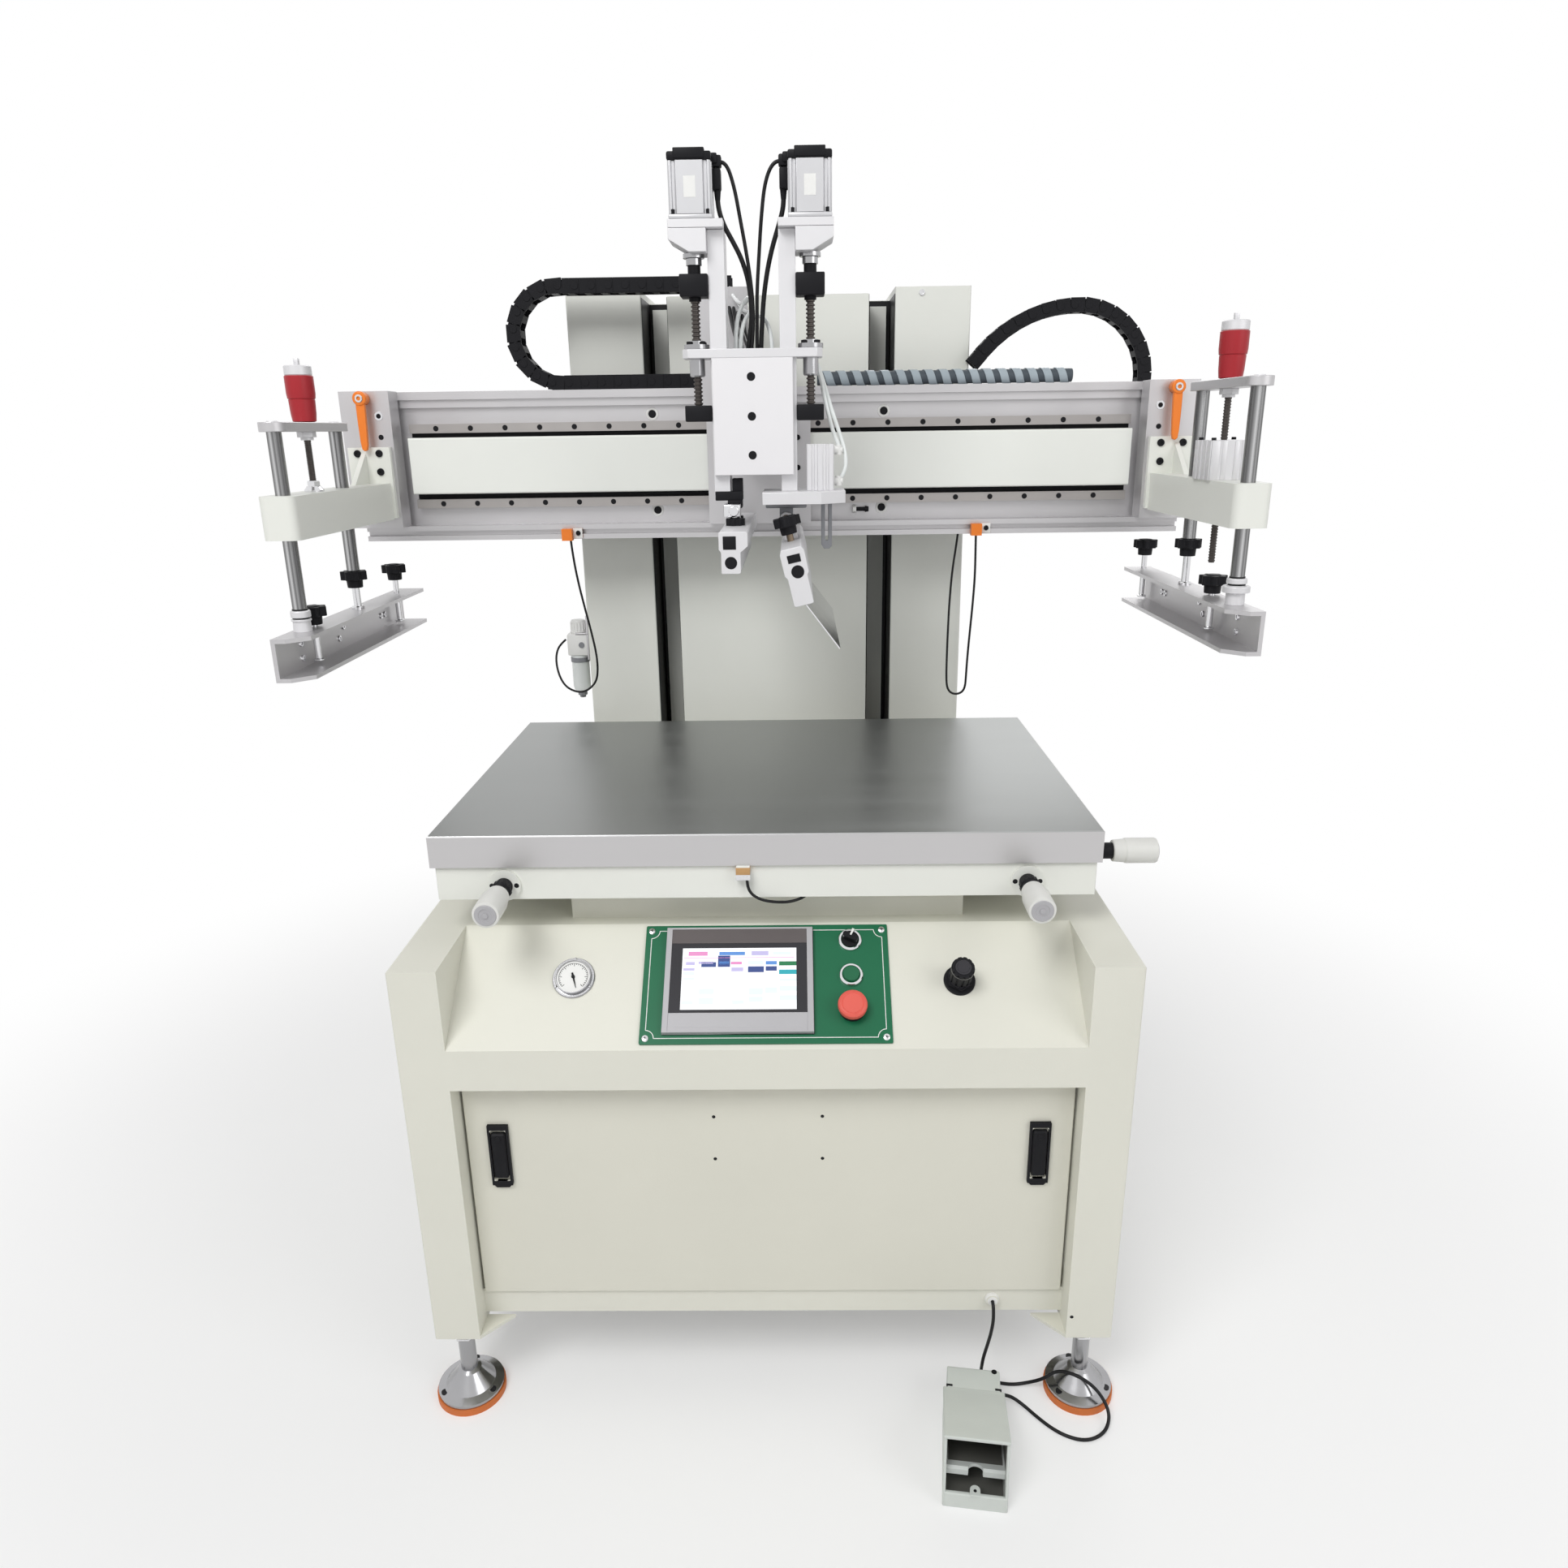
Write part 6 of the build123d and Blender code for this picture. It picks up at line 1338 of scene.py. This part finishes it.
def pedal():
    """The foot pedal's hooded housing with dark sheets of painted shade inside it, its tab, screws
    and notches, and a dark sheet of painted shade on the treadle.
    """
    spot = at(283.5, -527.2) @ Matrix.Rotation(math.radians(-7.5), 4, "Z")
    lengthwise = Matrix(((0, 0, 1, 0), (1, 0, 0, 0), (0, 1, 0, 0), (0, 0, 0, 1)))

    def across(outline, low_x, width):
        """Draws a side view of (along, up) points, given a width across the pedal."""
        plate(bm, outline, width, spot @ at(low_x, 0) @ lengthwise)

    bm = bmesh.new()
    wall = [(-94, 0), (46, 0), (46, 51), (41, 54), (-78, 106), (-93, 26)]
    across(wall, -43, 4)
    across(wall, 39, 4)
    roof = [(-83, 109.5), (-76, 107.5), (40, 56), (50, 54.5), (50, 49), (40, 49.5),
            (-76, 101.5), (-83, 104)]
    across(roof, -43.7, 87.4)
    rear = [(44, 0), (94, 0), (94, 46), (86, 54), (44, 54)]
    across(rear, -38, 76)
    lip = [(-94, 0), (44, 0), (44, 6), (-86, 6), (-86, 20), (-89, 24), (-94, 24)]
    across(lip, -41, 82)
    piece(bm, "pedal_body", "pedal_plastic", "stand", edge=1.6, covers=("pedal_housing",))
    # Dark sheets of painted shade inside the hood: walls, under the roof, end wall and base.
    bm = bmesh.new()
    for x in (-39.1, 38.5):
        across([(-76, 54), (38, 28), (38, 49.5), (-76, 100.5)], x, 0.6)
    under_roof = [(-76, 101), (-76, 100.4), (38, 49.3), (38, 49.9)]
    end_wall = [(43.2, 12), (43.9, 12), (43.9, 49), (43.2, 49)]
    base = [(-84, 6.1), (43, 6.1), (43, 6.8), (-84, 6.8)]
    for sheet in (under_roof, end_wall, base):
        across(sheet, -38.5, 77)
    piece(bm, "pedal_painted_shade_sheets", "pedal_painted_shade", "stand", slot="pedal_plastic")
    # A dark sheet of painted shade on the treadle's top.
    bm = bmesh.new()
    across([(12, 30.3), (-64, 47.9), (-64, 48.5), (12, 30.9)], -36, 72)
    piece(bm, "treadle_painted_shade", "pedal_painted_shade", "treadle", slot="pedal_pad")
    bm = bmesh.new()
    tab = [(-7, 0)] + [around(7, turn, 0, 9) for turn in range(180, -1, -15)] + [(7, 0)]
    plate(bm, tab, 4, spot @ at(0, -94, 21))
    piece(bm, "pedal_tab", "pedal_plastic", "stand", edge=0.6)
    bm = bmesh.new()
    fresh = rod(bm, (0, -87, 24.8), (0, -87, 25.4), 2.2, sides=20)
    fresh += rod(bm, (30, 84, 53), (30, 84, 54.6), 4, sides=20)
    for side in (-1, 1):
        fresh += rod(bm, (side * 38.6, 53, 51.2), (side * 30, 53, 53), 3.4, 2.2, sides=20)
    bmesh.ops.transform(bm, matrix=spot, verts=fresh)
    piece(bm, "pedal_screws_and_notches", "black_rubber", "stand", slot="black_plastic")


cabinet_details()
column_details()
air_filter()
feet_details()
pedal()


# Table

ADJUSTER_X, ADJUSTER_Z = 352, 791


def adjuster(name, start, direction, sleeve, reach, body, cover):
    """One table adjuster: black collar, white grip and grey end cap."""
    facing = toward(start, direction)
    bm = bmesh.new()
    turned(bm, [(0, 0.3), (11.6, 0.3), (11.6, 8), (13, 9), (13, 19), (11.6, 20), (11.6, sleeve),
                (0, sleeve)], facing, sides=40)
    for i in range(14):
        spot = around(13, 360 * i / 14)
        fresh = rod(bm, (*spot, 9.5), (*spot, 18.5), 0.9, sides=8)
        bmesh.ops.transform(bm, matrix=facing, verts=fresh)
    piece(bm, name + "_collar", "black_plastic", body, slot="grip_plastic")
    bm = bmesh.new()
    turned(bm, [(0, sleeve), (14.6, sleeve), (15.4, sleeve + 1), (16.6, sleeve + 14),
                (16.6, sleeve + 16), (17.6, sleeve + 17.4), (18, sleeve + 20), (18, reach - 3),
                (17.2, reach - 0.6), (15, reach), (0, reach)], facing, sides=56)
    piece(bm, name + "_grip", "grip_plastic", body, sharp=24, covers=(cover,))
    bm = bmesh.new()
    turned(bm, [(0, reach + 2.2), (3.4, reach + 2.2), (3.8, reach + 0.5), (8.6, reach + 0.5),
                (9, reach + 1.1), (13.6, reach + 1.1), (14.4, reach + 0.1), (14.4, reach - 1),
                (0, reach - 1)], facing, sides=48)
    piece(bm, name + "_end_cap", "silver_plastic", body, slot="grip_plastic")


def table_details():
    """The three adjusters, dark discs of painted shade in the front ones' flange holes, and the
    table sensor with its lead.
    """
    for name, side in (("left", -1), ("right", 1)):
        adjuster("front_" + name, (side * ADJUSTER_X, -353.3, ADJUSTER_Z), FORWARD, 34, 95.7,
                 name + "_adjuster_knob", f"front_{name}_adjuster")
    adjuster("side", (449.3, -266, 800), (1, 0, 0), 38, 99.7, "side_adjuster_knob",
             "side_adjuster")
    # Dark discs of painted shade in the front adjusters' flange holes.
    bm = bmesh.new()
    for x in (-ADJUSTER_X, ADJUSTER_X):
        for out in (-16.6, 16.6):
            rod(bm, (x + out, -352.9, ADJUSTER_Z), (x + out, -353.15, ADJUSTER_Z), 3.4, sides=24)
    piece(bm, "table_hole_shade", "black_rubber", "table", slot="black_plastic")
    bm = bmesh.new()
    box(bm, (-38.5, -361.8, 807), (-19.5, -348.8, 817.2), edge=0.6)
    piece(bm, "table_sensor_face", "amber_plastic", "table", slot="orange_plastic")
    bm = bmesh.new()
    box(bm, (-38.8, -361.6, 799.2), (-19.2, -348.8, 807.2), edge=0.5)
    for x in (-35.4, -29, -22.6):
        rod(bm, (x, -361, 803), (x, -362.4, 803), 2, sides=20)
    piece(bm, "table_sensor_plate", "chrome", "table")
    points = [(-24, -356, 800.5), (-24, -356.6, 790), (-19, -357.4, 778), (-7, -357, 769.5),
              (10, -355.6, 765), (30, -352.5, 763.2), (46, -345, 764), (58, -333, 766.5),
              (66, -318, 768.2)]
    lead = curve_piece(points, "table_sensor_lead", "black_rubber", "table", 2)
    run = centreline(points)


table_details()


# Floor, light and camera

FLOOR_REACH = 30
FADE_START, FADE_END = 0.9, 2.2         # where the floor starts to turn white, and where it is
FLOOR_LIGHT = 0.3                       # how much of the white already shows under the machine
ROOM_LIGHT = 0.42
CAMERA_PLACE = (0.0479, -1.7201, 1.3727)
CAMERA_PITCH, CAMERA_YAW, CAMERA_ROLL = (math.radians(a) for a in (17.888, 0.859, -0.819))
LENS, SENSOR = 25.27, 36


def calculated(nodes, links, operation, first, second):
    """The outcome of an operation on two values."""
    step = nodes.new("ShaderNodeMath")
    step.operation = operation
    links.new(first, step.inputs[0])
    links.new(second, step.inputs[1])
    return step.outputs[0]


def mixed(nodes, links, factor, first, second, output):
    """Sends a mix of two shaders to a material's or world's output."""
    mix = nodes.new("ShaderNodeMixShader")
    links.new(factor, mix.inputs["Fac"])
    links.new(first.outputs[0], mix.inputs[1])
    links.new(second.outputs[0], mix.inputs[2])
    links.new(mix.outputs[0], nodes[output].inputs["Surface"])


def seen_background(nodes, links):
    """One where the background is looked at, directly or through metal and glass."""
    rays = nodes.new("ShaderNodeLightPath")
    total = rays.outputs["Is Camera Ray"]
    for kind in ("Is Glossy Ray", "Is Transmission Ray"):
        total = calculated(nodes, links, "MAXIMUM", total, rays.outputs[kind])
    return total


def floor():
    """A wide pale floor that turns white away from the machine, and keeps its shadow."""
    mesh = bpy.data.meshes.new("floor")
    bm = bmesh.new()
    bmesh.ops.create_grid(bm, x_segments=1, y_segments=1, size=FLOOR_REACH)
    bm.to_mesh(mesh)
    bm.free()
    obj = placed("floor", mesh)
    material = bpy.data.materials.new("floor")
    material.use_nodes = True
    nodes, links = material.node_tree.nodes, material.node_tree.links
    shader = nodes["Principled BSDF"]
    shader.inputs["Base Color"].default_value = (0.9, 0.9, 0.9, 1)
    shader.inputs["Roughness"].default_value = 0.8
    shader.inputs["Specular IOR Level"].default_value = 0.2
    place = nodes.new("ShaderNodeTexCoord")
    distance = nodes.new("ShaderNodeVectorMath")
    distance.operation = "LENGTH"
    links.new(place.outputs["Object"], distance.inputs[0])
    far = nodes.new("ShaderNodeMapRange")
    far.interpolation_type = "SMOOTHSTEP"
    far.inputs["From Min"].default_value = FADE_START
    far.inputs["From Max"].default_value = FADE_END
    far.inputs["To Min"].default_value = FLOOR_LIGHT
    links.new(distance.outputs["Value"], far.inputs["Value"])
    seen = calculated(nodes, links, "MULTIPLY", far.outputs["Result"],
                      seen_background(nodes, links))
    mixed(nodes, links, seen, shader, nodes.new("ShaderNodeEmission"), "Material Output")
    mesh.materials.append(material)


def area_light(name, place, target, size, power):
    """A soft square lamp that faces a point."""
    lamp = bpy.data.lights.new(name, "AREA")
    lamp.shape = "SQUARE"
    lamp.size = size
    lamp.energy = power
    placed(name, lamp).matrix_world = toward(place, Vector(place) - Vector(target))


def camera():
    """The photograph's viewpoint, from the operator's side and above the table."""
    turn = Matrix.Rotation(CAMERA_YAW, 3, "Z")
    ahead = turn @ Vector((0, math.cos(CAMERA_PITCH), -math.sin(CAMERA_PITCH)))
    up = turn @ Vector((0, math.sin(CAMERA_PITCH), math.cos(CAMERA_PITCH)))
    right = turn @ Vector((1, 0, 0))
    across = math.cos(CAMERA_ROLL) * right + math.sin(CAMERA_ROLL) * up
    upright = -math.sin(CAMERA_ROLL) * right + math.cos(CAMERA_ROLL) * up
    lens = bpy.data.cameras.new("camera")
    lens.sensor_width = SENSOR
    lens.lens = LENS
    lens.clip_end = 100
    obj = placed("camera", lens)
    axes = Matrix((across, upright, -ahead)).transposed().to_4x4()
    obj.matrix_world = at(*CAMERA_PLACE) @ axes
    bpy.context.scene.camera = obj


def background(nodes, strength):
    """A plain white surround of some strength."""
    surround = nodes.new("ShaderNodeBackground")
    surround.inputs["Color"].default_value = (1, 1, 1, 1)
    surround.inputs["Strength"].default_value = strength
    return surround


def room():
    """White surroundings that light the machine softly and look pure white behind it."""
    world = bpy.data.worlds.new("room")
    bpy.context.scene.world = world
    world.use_nodes = True
    nodes, links = world.node_tree.nodes, world.node_tree.links
    mixed(nodes, links, seen_background(nodes, links), background(nodes, ROOM_LIGHT),
          background(nodes, 1.0), "World Output")


floor()
area_light("key", (-1.3, -2.7, 3.9), (0, 0, 0.9), 1.8, 92)
area_light("fill", (2.6, -2.4, 2.6), (0, 0, 0.9), 2.0, 30)
area_light("back", (0.8, 2.8, 3.4), (0, 0, 1.0), 2.4, 34)
camera()
room()
bpy.context.scene.view_settings.view_transform = "Standard"
